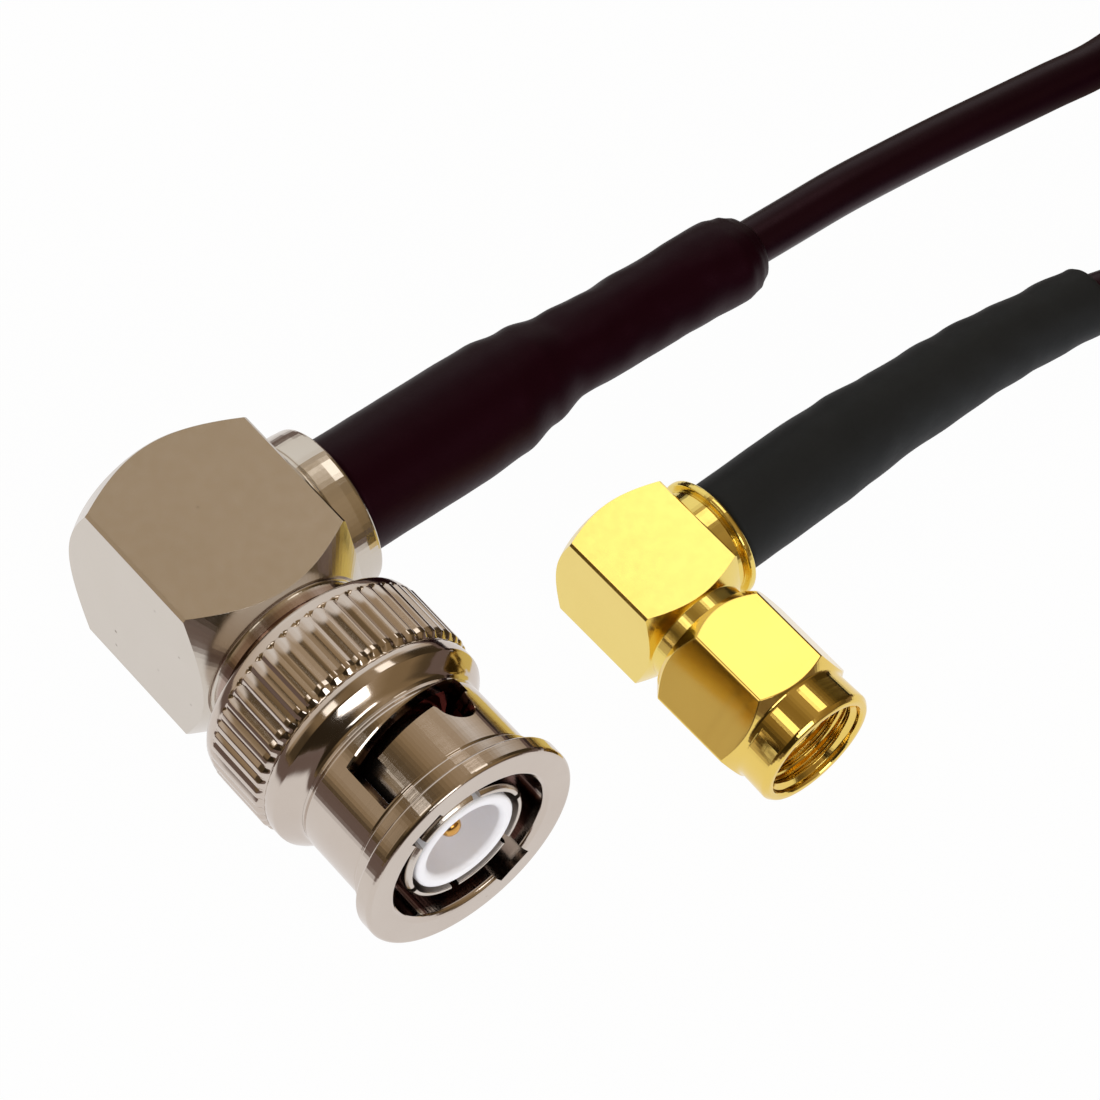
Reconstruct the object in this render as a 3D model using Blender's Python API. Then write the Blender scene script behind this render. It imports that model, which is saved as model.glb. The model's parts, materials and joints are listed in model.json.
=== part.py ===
# Coaxial cable assembly: right-angle BNC plug, thin coaxial cable in a coil, right-angle SMA plug.
# Metres, +Z up. The BNC plug mates toward -Y and its cable leaves toward +X.
# The origin is the centre of the BNC plug's rear face, on the mating axis.
import math

import bmesh
import bpy
from mathutils import Matrix, Vector

for old in list(bpy.data.objects):
    bpy.data.objects.remove(old, do_unlink=True)

# Air left between fitted pieces, and between the layers of a crimp
GAP = 0.0003
CRIMP_GAP = 0.0002

# Cable
CABLE_R = 0.0014
CORE_R = 0.00065
CONDUCTOR_R = 0.00025
BRAID_WALL = 0.00025

# BNC block: square bar with both ends turned to a cone, distances from the crossing of its axes
BNC_SIDE = 0.0109
BNC_EDGE_CHAMFER = 0.00015
BNC_CONE_AT = 0.00435
BNC_FACE_AT = 0.00625
BNC_FACE_R = 0.0053
BNC_NECK_R = 0.005
BNC_NECK_END = 0.0079
BNC_CHAMBER_R = 0.0024
BNC_CAP_R = 0.0042
BNC_CAP_THICK = 0.001
BNC_COLLAR_R = 0.00493
BNC_COLLAR_END = 0.00783
BNC_STEM_R = 0.00145
BNC_STEM_BORE_R = 0.00095
BNC_STEM_END = 0.0135

# BNC shell, pressed into the neck
BNC_SPIGOT_R = 0.00345
BNC_SPIGOT_BACK = 0.0042
BNC_JOURNAL_R = 0.00375
BNC_FLANGE_LENGTH = 0.0007
BNC_TUBE_R = 0.004
BNC_TUBE_WALL = 0.0004
BNC_TUBE_FRONT = 0.02194
BNC_TUBE_SLOTS = 6
TUBE_SLOT_DEG = 20
BNC_TUBE_SLOT_WIDTH = 0.0005
BNC_TUBE_SLOT_BACK = 0.0168
BNC_CUP_BACK = 0.0163
BNC_CUP_FLOOR = 0.001
BNC_CUP_WALL = 0.00085
BNC_ROD_R = 0.0025
BNC_CONTACT_R = 0.0009
BNC_PIN_R = 0.00068
BNC_PIN_TIP = 0.0211

# BNC bayonet coupling
KNURL_R = 0.00725
KNURL_TEETH = 51
KNURL_FIRST_DEG = 70
KNURL_DEPTH = 0.00018
KNURL_BACK = 0.0091
KNURL_FRONT = 0.013
COUPLING_WALL = 0.0017
COUPLING_BORE_R = 0.00504
SHOULDER_R = 0.00705
SHOULDER_LENGTH = 0.0011
BAYONET_WALL = 0.00107
GROOVE_DEPTH = 0.00016
SLEEVE_BACK = 0.0159
STEP_AT = 0.0202
STEP_RISE = 0.00014
MOUTH_FLANGE_R = 0.00693
MOUTH_FLANGE_BACK = 0.02115
MOUTH_FRONT = 0.02237
COUPLING_TRAVEL = 0.0005
WASHER_THICK = 0.0004
WAVE_THICK = 0.00025
WAVE_HEIGHT = 0.0002
GASKET_LENGTH = 0.0011

# Cam slots of the coupling, angles about the mating axis from the cable's side
SLOT_ENTRY_DEG = 123.5
SLOT_END_DEG = 45
SLOT_ENTRY_WIDTH = 0.0016
SLOT_WIDTH = 0.00115
SLOT_ENTRY_AT = 0.01715
SLOT_END_AT = 0.01601
DETENT_DEG = 62
DETENT_R = 0.0013
DETENT_AT = 0.0171
KEYWAY_WIDTH = 0.0022
KEYWAY_DEPTH = 0.00066

# SMA plug, distances from the crossing of its own axes
SMA_SIDE = 0.0067
SMA_CONE_AT = 0.0031
SMA_FACE_AT = 0.0039
SMA_FACE_R = 0.00325
SMA_NECK_R = 0.0032
SMA_NECK_END = 0.0046
SMA_CHAMBER_R = 0.0015
SMA_CAP_R = 0.0024
SMA_CAP_THICK = 0.0007
SMA_BOSS_R = 0.0033
SMA_COLLAR_R = 0.00366
SMA_COLLAR_THICK = 0.00055
SMA_COLLAR_END = 0.00485
SMA_STEM_R = 0.00125
SMA_STEM_BORE_R = 0.0009
SMA_STEM_END = 0.0095
SMA_SPIGOT_R = 0.0021
SMA_SPIGOT_BACK = 0.0024
SMA_JOURNAL_R = 0.0023
SMA_SHELL_BORE_R = 0.00175
SMA_SHELL_FRONT = 0.0104
SMA_CONTACT_R = 0.00046
SMA_PIN_TIP = 0.0119
NUT_FLATS = 0.008
NUT_BACK = 0.0049
NUT_FACE_R = 0.0037
NUT_HEX_CONE_BACK = 0.006
NUT_HEX_CONE_FRONT = 0.01097
NUT_HEX_END = 0.01155
NUT_SKIRT_R = 0.00386
NUT_FRONT = 0.0139
NUT_BORE_R = 0.00305
NUT_WALL = 0.0011
SMA_GASKET_LENGTH = 0.0008
SNAP_THICK = 0.0005
SNAP_OUTER_R = 0.00275

# Heat-shrink sleeves: walls, and their outer radii on the ferrule and on the cable
SLEEVE_WALL = 0.0006
BNC_SLEEVE_R = 0.00355
BNC_SLEEVE_THIN_R = 0.0025
BNC_SLEEVE_SHOULDER = 0.0195
BNC_SLEEVE_WAIST = 0.024
BNC_SLEEVE_END = 0.0376
SMA_SLEEVE_R = 0.00285
SMA_SLEEVE_THIN_R = 0.0021
SMA_SLEEVE_END = 0.0333
SMA_SLEEVE_DRIFT = 0.0012
SMA_RUN_OUT = 0.0085
SMA_RUN_ASIDE = 0.0017
FERRULE_WALL = 0.0005
BNC_FERRULE_END = 0.0172
SMA_FERRULE_END = 0.0128

# Where the SMA plug lies: its crossing of axes, turned a little, nose down on its nut
SMA_X = 0.0196
SMA_AHEAD = 0.0135
SMA_YAW = math.radians(2.8)
SMA_NOSE_DOWN = math.radians(4.0)

# Coil beside the plugs, held by two ties
COIL_X = 0.089
COIL_AHEAD = 0.011
COIL_R = 0.015
TIE_THICK = 0.00035
TIE_WIDTH = 0.003

BNC_Y = -BNC_FACE_AT
TABLE = -KNURL_R


def finish(obj, colour, roughness, metallic):
    """Give the object its own material."""
    mat = bpy.data.materials.new(obj.name + "_finish")
    mat.use_nodes = True
    shader = mat.node_tree.nodes["Principled BSDF"]
    shader.inputs["Base Color"].default_value = (*colour, 1.0)
    shader.inputs["Roughness"].default_value = roughness
    shader.inputs["Metallic"].default_value = metallic
    obj.data.materials.append(mat)


def nickel(obj):
    finish(obj, (0.52, 0.46, 0.40), 0.28, 1.0)


def gold(obj):
    finish(obj, (0.95, 0.70, 0.24), 0.22, 1.0)


def ptfe(obj):
    finish(obj, (0.86, 0.86, 0.88), 0.45, 0.0)


def silicone(obj):
    finish(obj, (0.45, 0.07, 0.05), 0.6, 0.0)


def jacket(obj):
    finish(obj, (0.012, 0.010, 0.012), 0.4, 0.0)


def empty(name, location, rotation=(0.0, 0.0, 0.0)):
    obj = bpy.data.objects.new(name, None)
    obj.location = location
    obj.rotation_euler = rotation
    bpy.context.scene.collection.objects.link(obj)
    return obj


def add(name, bm, parent=None, sharp=35):
    """Turn a bmesh into a named object under its parent, smooth apart from its sharp edges."""
    bmesh.ops.recalc_face_normals(bm, faces=bm.faces)
    mesh = bpy.data.meshes.new(name)
    bm.to_mesh(mesh)
    bm.free()
    mesh.shade_smooth()
    mesh.set_sharp_from_angle(angle=math.radians(sharp))
    obj = bpy.data.objects.new(name, mesh)
    obj.parent = parent
    bpy.context.scene.collection.objects.link(obj)
    return obj


def around(axis, along, radius, angle):
    """A point at a radius and angle round an axis. Forward runs toward -Y, the cable's way toward +X."""
    across = radius * math.cos(angle)
    up = radius * math.sin(angle)
    if axis == "forward":
        return Vector((across, -along, up))
    if axis == "up":
        return Vector((across, up, along))
    return Vector((along, across, up))


def bridge(bm, one, two):
    """Join two rings, also where one has twice the points of the other."""
    if len(one) < len(two):
        one, two = two, one
    n = len(one)
    if len(two) == 1:
        for i in range(n):
            bm.faces.new((one[i], one[(i + 1) % n], two[0]))
    elif len(two) == n:
        for i in range(n):
            j = (i + 1) % n
            bm.faces.new((one[i], one[j], two[j], two[i]))
    else:
        for i in range(n // 2):
            j = (i + 1) % (n // 2)
            a, b, c = one[2 * i], one[2 * i + 1], one[(2 * i + 2) % n]
            bm.faces.new((a, b, two[i]))
            bm.faces.new((b, two[j], two[i]))
            bm.faces.new((b, c, two[j]))


def turned_mesh(profile, axis, segments, closed=True, phase=0.0):
    """Turn a profile of (along, radius) points, and a third value for the radius of every second point."""
    bm = bmesh.new()
    rings = []
    for point in profile:
        along, radius = point[0], point[1]
        if radius == 0:
            rings.append([bm.verts.new(around(axis, along, 0.0, 0.0))])
            continue
        count = segments * 2 if len(point) == 3 else segments
        ring = []
        for i in range(count):
            r = point[2] if len(point) == 3 and i % 2 else radius
            ring.append(bm.verts.new(around(axis, along, r, phase + 2 * math.pi * i / count)))
        rings.append(ring)
    for one, two in zip(rings, rings[1:]):
        bridge(bm, one, two)
    if closed:
        bridge(bm, rings[-1], rings[0])
    return bm


def tube_profile(back, front, outer, inner, edge=0.0001):
    """A plain tube with small chamfers on its outer edges."""
    return [
        (back, outer - edge),
        (back + edge, outer),
        (front - edge, outer),
        (front, outer - edge),
        (front, inner),
        (back, inner),
    ]


def prism(back, front, sides, flats, axis="forward", phase=0.0):
    """A bar with flat sides, given by the distance across its flats."""
    corner = flats / 2 / math.cos(math.pi / sides)
    return turned_mesh([(back, 0), (back, corner), (front, corner), (front, 0)], axis, sides, False, phase)


def block(x, y, z):
    """A box between three pairs of limits."""
    bm = bmesh.new()
    verts = [bm.verts.new((i, j, k)) for i in x for j in y for k in z]
    for quad in ((0, 1, 3, 2), (4, 6, 7, 5), (0, 4, 5, 1), (2, 3, 7, 6), (0, 2, 6, 4), (1, 5, 7, 3)):
        bm.faces.new([verts[i] for i in quad])
    return bm


def tool(name, bm, parent):
    obj = add(name, bm, parent)
    obj.hide_render = True
    obj.display_type = "WIRE"
    return obj


def boolean(obj, cutter, operation):
    mod = obj.modifiers.new(cutter.name, "BOOLEAN")
    mod.operation = operation
    mod.solver = "EXACT"
    mod.object = cutter


def pin_mesh(points, segments):
    """A solid pin: (along, radius) points between two closed ends."""
    profile = [(points[0][0], 0), *points, (points[-1][0], 0)]
    return turned_mesh(profile, "forward", segments, False)


def smooth_route(points, step):
    """Points at an even spacing along a smooth curve through the given ones."""
    knots = [Vector(p) for p in points]
    knots = [2 * knots[0] - knots[1], *knots, 2 * knots[-1] - knots[-2]]
    fine = []
    for a, b, c, d in zip(knots, knots[1:], knots[2:], knots[3:]):
        for i in range(16):
            t = i / 16
            turn = (2 * a - 5 * b + 4 * c - d) * t**2 + (3 * b - a - 3 * c + d) * t**3
            fine.append(0.5 * (2 * b + (c - a) * t + turn))
    fine.append(knots[-2])
    length = sum((b - a).length for a, b in zip(fine, fine[1:]))
    count = max(2, round(length / step))
    out = [fine[0]]
    walked = 0.0
    for a, b in zip(fine, fine[1:]):
        piece = (b - a).length
        while len(out) < count and walked + piece >= length * len(out) / count:
            part = (length * len(out) / count - walked) / piece
            out.append(a.lerp(b, part))
        walked += piece
    out.append(fine[-1])
    return out


def cord(name, points, radius):
    """A cable run: a curve with a round bevel and closed ends."""
    curve = bpy.data.curves.new(name, "CURVE")
    curve.dimensions = "3D"
    curve.bevel_depth = radius
    curve.bevel_resolution = 2
    curve.use_fill_caps = True
    line = curve.splines.new("POLY")
    line.points.add(len(points) - 1)
    for point, co in zip(line.points, points):
        point.co = (*co, 1.0)
    obj = bpy.data.objects.new(name, curve)
    bpy.context.scene.collection.objects.link(obj)
    return obj


def sleeve(name, stations, parent, segments=20):
    """A shrunk sleeve along +X: stations of (x, y, z, outer radius, bore radius), closed at both mouths."""
    bm = bmesh.new()
    outer = []
    inner = []
    angles = [2 * math.pi * i / segments for i in range(segments)]
    for x, y, z, outer_r, inner_r in stations:
        centre = Vector((0.0, y, z))
        outer.append([bm.verts.new(centre + around("cable", x, outer_r, angle)) for angle in angles])
        inner.append([bm.verts.new(centre + around("cable", x, inner_r, angle)) for angle in angles])
    loop = outer + inner[::-1]
    for one, two in zip(loop, loop[1:]):
        bridge(bm, one, two)
    bridge(bm, loop[-1], loop[0])
    return add(name, bm, parent)


# BNC plug
bnc = empty("bnc_plug", (0.0, BNC_Y, 0.0))

# Block, neck and chamber turned in one, then milled square
cone_slope = (BNC_SIDE / math.sqrt(2) - BNC_FACE_R) / (BNC_FACE_AT - BNC_CONE_AT)
corner_r = BNC_SIDE / math.sqrt(2) + GAP
corner_at = BNC_FACE_AT - (corner_r - BNC_FACE_R) / cone_slope
spigot_bore = BNC_SPIGOT_R + GAP
spigot_seat = BNC_SPIGOT_BACK - GAP
cap_seat = BNC_FACE_AT - BNC_CAP_THICK - GAP
bnc_turned = [
    (-BNC_FACE_AT, BNC_FACE_R),
    (-corner_at, corner_r),
    (corner_at, corner_r),
    (BNC_FACE_AT, BNC_FACE_R),
    (BNC_FACE_AT, BNC_NECK_R),
    (BNC_NECK_END - 0.0002, BNC_NECK_R),
    (BNC_NECK_END, BNC_NECK_R - 0.0002),
    (BNC_NECK_END, spigot_bore),
    (spigot_seat, spigot_bore),
    (spigot_seat, BNC_CHAMBER_R),
    (-cap_seat, BNC_CHAMBER_R),
    (-cap_seat, BNC_CAP_R + GAP),
    (-BNC_FACE_AT, BNC_CAP_R + GAP),
]
body = add("bnc_body", turned_mesh(bnc_turned, "forward", 36), bnc)
bar = prism(-2 * BNC_FACE_AT, 2 * BNC_FACE_AT, 4, BNC_SIDE, "forward", math.pi / 4)
bar_tool = tool("bnc_bar_tool", bar, bnc)
bar_edges = bar_tool.modifiers.new("edges", "BEVEL")
bar_edges.width = BNC_EDGE_CHAMFER
bar_edges.segments = 1
boolean(body, bar_tool, "INTERSECT")
bnc_collar_back = BNC_SIDE / 2 - 0.001
collar = [
    (bnc_collar_back, 0),
    (bnc_collar_back, BNC_COLLAR_R),
    (BNC_COLLAR_END - 0.0002, BNC_COLLAR_R),
    (BNC_COLLAR_END, BNC_COLLAR_R - 0.0002),
    (BNC_COLLAR_END, BNC_STEM_R),
    (BNC_STEM_END, BNC_STEM_R),
    (BNC_STEM_END, 0),
]
boolean(body, tool("bnc_collar_tool", turned_mesh(collar, "cable", 36, False), bnc), "UNION")
stem_bore = [(0, 0), (0, BNC_STEM_BORE_R), (2 * BNC_STEM_END, BNC_STEM_BORE_R), (2 * BNC_STEM_END, 0)]
boolean(body, tool("bnc_bore_tool", turned_mesh(stem_bore, "cable", 16, False), bnc), "DIFFERENCE")
nickel(body)

cap_edge = 0.0001
cap = [
    (-BNC_FACE_AT, 0),
    (-BNC_FACE_AT, BNC_CAP_R - cap_edge),
    (-BNC_FACE_AT + cap_edge, BNC_CAP_R),
    (-BNC_FACE_AT + BNC_CAP_THICK, BNC_CAP_R),
    (-BNC_FACE_AT + BNC_CAP_THICK, 0),
]
nickel(add("bnc_rear_cap", turned_mesh(cap, "forward", 32, False), bnc))

# Coupling, with the ring's knurl as alternating radii of its doubled points
coupling_back = BNC_NECK_END + GAP
wall_front = coupling_back + COUPLING_WALL
journal_clear = BNC_JOURNAL_R + GAP
root = KNURL_R - KNURL_DEPTH
shoulder_back = KNURL_FRONT + 0.00025
shoulder_front = shoulder_back + SHOULDER_LENGTH
fall = SLEEVE_BACK - shoulder_front
sleeve_r = COUPLING_BORE_R + BAYONET_WALL
groove_r = sleeve_r - GROOVE_DEPTH
step_r = sleeve_r + STEP_RISE
outer = [
    (coupling_back, KNURL_R - 0.00025),
    (coupling_back + 0.0002, KNURL_R),
    (KNURL_BACK, KNURL_R, KNURL_R),
    (KNURL_BACK + 0.0001, KNURL_R, root),
    (KNURL_FRONT - 0.0001, KNURL_R, root),
    (KNURL_FRONT, KNURL_R, KNURL_R),
    (shoulder_back, SHOULDER_R - 0.0001),
    (shoulder_front, SHOULDER_R),
    (shoulder_front + 0.27 * fall, SHOULDER_R + (groove_r - SHOULDER_R) * 0.27),
    (shoulder_front + 0.55 * fall, SHOULDER_R + (groove_r - SHOULDER_R) * 0.81),
    (shoulder_front + 0.8 * fall, groove_r),
    (SLEEVE_BACK, sleeve_r),
    (STEP_AT, sleeve_r),
    (STEP_AT + 0.0001, step_r),
    (MOUTH_FLANGE_BACK, step_r),
    (MOUTH_FLANGE_BACK, MOUTH_FLANGE_R - 0.0001),
    (MOUTH_FLANGE_BACK + 0.0001, MOUTH_FLANGE_R),
    (MOUTH_FRONT - 0.0002, MOUTH_FLANGE_R),
    (MOUTH_FRONT, MOUTH_FLANGE_R - 0.0002),
    (MOUTH_FRONT, COUPLING_BORE_R + 0.0002),
    (MOUTH_FRONT - 0.0002, COUPLING_BORE_R),
    (wall_front, COUPLING_BORE_R),
    (wall_front, journal_clear),
    (coupling_back, journal_clear),
]
knurl_phase = math.radians(KNURL_FIRST_DEG)
coupling = add("bnc_coupling", turned_mesh(outer, "forward", KNURL_TEETH, True, knurl_phase), bnc)
nickel(coupling)
cut_inner = (COUPLING_BORE_R + BNC_TUBE_R) / 2
cut_outer = step_r + GAP
entry_front = STEP_AT - GAP


def slot_limits(degrees):
    """How far back and forward a cam slot and its round pocket reach at an angle."""
    part = (SLOT_ENTRY_DEG - degrees) / (SLOT_ENTRY_DEG - SLOT_END_DEG)
    middle = SLOT_ENTRY_AT + (SLOT_END_AT - SLOT_ENTRY_AT) * part
    front = middle + SLOT_WIDTH / 2
    across = math.radians(degrees - DETENT_DEG) * sleeve_r
    if abs(across) < DETENT_R:
        front = max(front, DETENT_AT + math.sqrt(DETENT_R**2 - across**2))
    return (degrees, middle - SLOT_WIDTH / 2, front)


def slot_mesh(turn):
    """Cutter for a cam slot: sections side by side round the axis, from the closed end to the entry."""
    entry_half = math.degrees(SLOT_ENTRY_WIDTH / 2 / sleeve_r)
    pocket_half = math.degrees(DETENT_R / sleeve_r)
    entry_low = SLOT_ENTRY_DEG - entry_half
    steps = [SLOT_END_DEG + (entry_low - SLOT_END_DEG) * i / 7 for i in range(8)]
    pocket = [DETENT_DEG + pocket_half * share for share in (-0.99, -0.9, -0.7, -0.35, 0, 0.35, 0.7, 0.9, 0.99)]
    steps = [step for step in steps if not pocket[0] - 1 < step < pocket[-1] + 1]
    sections = [slot_limits(step) for step in sorted(steps + pocket)]
    for step in (entry_low + 0.1, SLOT_ENTRY_DEG, SLOT_ENTRY_DEG + entry_half):
        sections.append((step, slot_limits(step)[1], entry_front))
    bm = bmesh.new()
    rings = []
    for step, back, front in sections:
        angle = math.radians(turn + step)
        corners = ((back, cut_inner), (back, cut_outer), (front, cut_outer), (front, cut_inner))
        rings.append([bm.verts.new(around("forward", along, r, angle)) for along, r in corners])
    for one, two in zip(rings, rings[1:]):
        bridge(bm, one, two)
    bm.faces.new(rings[0])
    bm.faces.new(rings[-1])
    return bm


def to_angle(bm, degrees):
    """Turn a shape made over +Z to an angle round the mating axis."""
    turn = Matrix.Rotation(math.radians(90 - degrees), 3, "Y")
    bmesh.ops.rotate(bm, verts=bm.verts, cent=(0, 0, 0), matrix=turn)
    return bm


def keyway(degrees):
    """The groove in the bore from the mouth to the entry of a cam slot."""
    half = KEYWAY_WIDTH / 2
    along = (-MOUTH_FRONT - GAP, GAP - entry_front)
    return to_angle(block((-half, half), along, (cut_inner, COUPLING_BORE_R + KEYWAY_DEPTH)), degrees)


for turn in (0, 180):
    boolean(coupling, tool(f"bnc_slot_tool_{turn}", slot_mesh(turn), bnc), "DIFFERENCE")
    boolean(coupling, tool(f"bnc_keyway_tool_{turn}", keyway(turn + SLOT_ENTRY_DEG), bnc), "DIFFERENCE")

# Washers between the coupling's wall and the shell's flange
washer_r = COUPLING_BORE_R - GAP
thrust_back = wall_front + GAP
thrust_front = thrust_back + WASHER_THICK
thrust = tube_profile(thrust_back, thrust_front, washer_r, journal_clear)
nickel(add("bnc_thrust_washer", turned_mesh(thrust, "forward", 24), bnc))
wave_back = thrust_front + COUPLING_TRAVEL + GAP
flange_back = wave_back + WAVE_THICK + 2 * WAVE_HEIGHT + GAP
flange_front = flange_back + BNC_FLANGE_LENGTH
wave = bmesh.new()
wave_rings = []
for i in range(36):
    angle = 2 * math.pi * i / 36
    back = wave_back + WAVE_HEIGHT * (1 + math.sin(3 * angle))
    front = back + WAVE_THICK
    corners = ((back, journal_clear), (back, washer_r), (front, washer_r), (front, journal_clear))
    wave_rings.append([wave.verts.new(around("forward", along, r, angle)) for along, r in corners])
for one, two in zip(wave_rings, wave_rings[1:] + wave_rings[:1]):
    bridge(wave, one, two)
nickel(add("bnc_wave_washer", wave, bnc))

# Shell: spigot, journal, flange and slotted outer contact turned in one
tube_bore = BNC_TUBE_R - BNC_TUBE_WALL
rod_bore = BNC_ROD_R + GAP
shell_profile = [
    (BNC_SPIGOT_BACK, BNC_SPIGOT_R),
    (coupling_back, BNC_SPIGOT_R),
    (coupling_back, BNC_JOURNAL_R),
    (flange_back, BNC_JOURNAL_R),
    (flange_back, washer_r),
    (flange_front, washer_r),
    (flange_front, BNC_TUBE_R - 0.0001),
    (BNC_TUBE_FRONT - 0.0015, BNC_TUBE_R - 0.0001),
    (BNC_TUBE_FRONT - 0.0007, BNC_TUBE_R),
    (BNC_TUBE_FRONT - 0.00025, BNC_TUBE_R),
    (BNC_TUBE_FRONT, BNC_TUBE_R - 0.0002),
    (BNC_TUBE_FRONT, tube_bore),
    (BNC_CUP_BACK - GAP, tube_bore),
    (BNC_CUP_BACK - GAP, rod_bore),
    (BNC_SPIGOT_BACK, rod_bore),
]
shell = add("bnc_shell", turned_mesh(shell_profile, "forward", 36), bnc)
nickel(shell)
saw_half = BNC_TUBE_SLOT_WIDTH / 2
saw_reach = BNC_TUBE_R + GAP
saw_length = (-BNC_TUBE_FRONT - GAP, -BNC_TUBE_SLOT_BACK)
for i in range(BNC_TUBE_SLOTS // 2):
    saw = block((-saw_half, saw_half), saw_length, (-saw_reach, saw_reach))
    to_angle(saw, TUBE_SLOT_DEG + 360 / BNC_TUBE_SLOTS * i)
    boolean(shell, tool(f"bnc_saw_tool_{i}", saw, bnc), "DIFFERENCE")

gasket_back = flange_front + GAP
gasket = tube_profile(gasket_back, gasket_back + GASKET_LENGTH, washer_r, BNC_TUBE_R + GAP, 0.00015)
silicone(add("bnc_gasket", turned_mesh(gasket, "forward", 20), bnc))

contact_bore = BNC_CONTACT_R + GAP
cup_r = tube_bore - GAP
cup_bore = cup_r - BNC_CUP_WALL
cup_floor = BNC_CUP_BACK + BNC_CUP_FLOOR
insulator = [
    (BNC_SPIGOT_BACK, BNC_ROD_R),
    (BNC_CUP_BACK, BNC_ROD_R),
    (BNC_CUP_BACK, cup_r),
    (BNC_TUBE_FRONT - 0.00015, cup_r),
    (BNC_TUBE_FRONT - 0.00003, cup_r - 0.00012),
    (BNC_TUBE_FRONT - 0.00003, cup_bore + 0.00025),
    (BNC_TUBE_FRONT - 0.00025, cup_bore),
    (cup_floor, cup_bore),
    (cup_floor, contact_bore),
    (BNC_SPIGOT_BACK, contact_bore),
]
ptfe(add("bnc_insulator", turned_mesh(insulator, "forward", 28), bnc))

pin = [
    (-BNC_CONTACT_R, BNC_CONTACT_R),
    (cup_floor - 0.0002, BNC_CONTACT_R),
    (cup_floor, BNC_PIN_R),
    (BNC_PIN_TIP - BNC_PIN_R, BNC_PIN_R),
    (BNC_PIN_TIP - BNC_PIN_R * 0.4, BNC_PIN_R * 0.85),
    (BNC_PIN_TIP - BNC_PIN_R * 0.1, BNC_PIN_R * 0.5),
    (BNC_PIN_TIP, BNC_PIN_R * 0.2),
]
gold(add("bnc_center_pin", pin_mesh(pin, 14), bnc))


def cable_end(prefix, parent, chamber_r, contact_r, stem_r, bore_r, stem_end, collar_end, ferrule_end):
    """The stripped cable in a plug: conductor, core, braid over the stem, and the ferrule on it."""
    conductor_end = chamber_r + GAP
    soldered = contact_r + CRIMP_GAP
    wire = [(soldered, 0), (soldered, CONDUCTOR_R), (conductor_end, CONDUCTOR_R), (conductor_end, 0)]
    wire_end = add(prefix + "_conductor_end", turned_mesh(wire, "cable", 8, False), parent)
    finish(wire_end, (0.75, 0.38, 0.22), 0.3, 1.0)
    core_r = min(CORE_R, bore_r - CRIMP_GAP)
    core_back = conductor_end + GAP
    core = [(core_back, 0), (core_back, core_r), (stem_end, core_r), (stem_end, 0)]
    ptfe(add(prefix + "_cable_core", turned_mesh(core, "cable", 10, False), parent))
    braid_bore = stem_r + CRIMP_GAP
    braid_r = braid_bore + BRAID_WALL
    braid = tube_profile(collar_end + GAP, stem_end, braid_r, braid_bore, 0.00005)
    braid_end = add(prefix + "_braid_end", turned_mesh(braid, "cable", 14), parent)
    finish(braid_end, (0.62, 0.60, 0.58), 0.45, 1.0)
    ferrule_bore = max(braid_r, CABLE_R) + CRIMP_GAP
    ferrule = tube_profile(collar_end + GAP, ferrule_end, ferrule_bore + FERRULE_WALL, ferrule_bore)
    return add(prefix + "_crimp_ferrule", turned_mesh(ferrule, "cable", 16), parent)


nickel(cable_end(
    "bnc", bnc, BNC_CHAMBER_R, BNC_CONTACT_R, BNC_STEM_R, BNC_STEM_BORE_R, BNC_STEM_END, BNC_COLLAR_END,
    BNC_FERRULE_END,
))

# BNC sleeve: full on the ferrule, drawn in past it, slack at its mouth where the cable leaves
bnc_ferrule_r = max(BNC_STEM_R + CRIMP_GAP + BRAID_WALL, CABLE_R) + CRIMP_GAP + FERRULE_WALL
full_bore = max(BNC_SLEEVE_R - SLEEVE_WALL, bnc_ferrule_r + CRIMP_GAP)
full = full_bore + SLEEVE_WALL
thin_bore = CABLE_R + GAP
thin = max(BNC_SLEEVE_THIN_R, thin_bore + SLEEVE_WALL)
waist_rise = 0.0004
bnc_sleeve = [
    (BNC_COLLAR_END + GAP, 0, 0, full, full_bore),
    (BNC_SLEEVE_SHOULDER - 0.003, 0, 0, full, full_bore),
    (BNC_SLEEVE_SHOULDER, 0, waist_rise * 0.3, full - 0.0001, full_bore - 0.0002),
    ((BNC_SLEEVE_SHOULDER + BNC_SLEEVE_WAIST) / 2, 0, waist_rise, (full + thin) / 2, thin_bore + 0.0006),
    (BNC_SLEEVE_WAIST, 0, waist_rise, thin, thin_bore + 0.0003),
    ((BNC_SLEEVE_WAIST + BNC_SLEEVE_END) / 2, 0, 0.0001, thin + 0.00005, thin_bore + 0.0002),
    (BNC_SLEEVE_END - 0.004, 0, -0.00015, thin, thin_bore + 0.0002),
    (BNC_SLEEVE_END - 0.0008, 0, -0.0003, thin + 0.0001, thin_bore + 0.0003),
    (BNC_SLEEVE_END, 0, -0.0003, thin - 0.0001, thin_bore + 0.0002),
]
jacket(sleeve("bnc_heat_shrink", bnc_sleeve, bnc))

# SMA plug
sma_z = TABLE + NUT_FLATS / 2 * math.cos(SMA_NOSE_DOWN) + NUT_HEX_END * math.sin(SMA_NOSE_DOWN)
sma = empty("sma_plug", (SMA_X, BNC_Y - SMA_AHEAD, sma_z), (SMA_NOSE_DOWN, 0.0, SMA_YAW))

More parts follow.
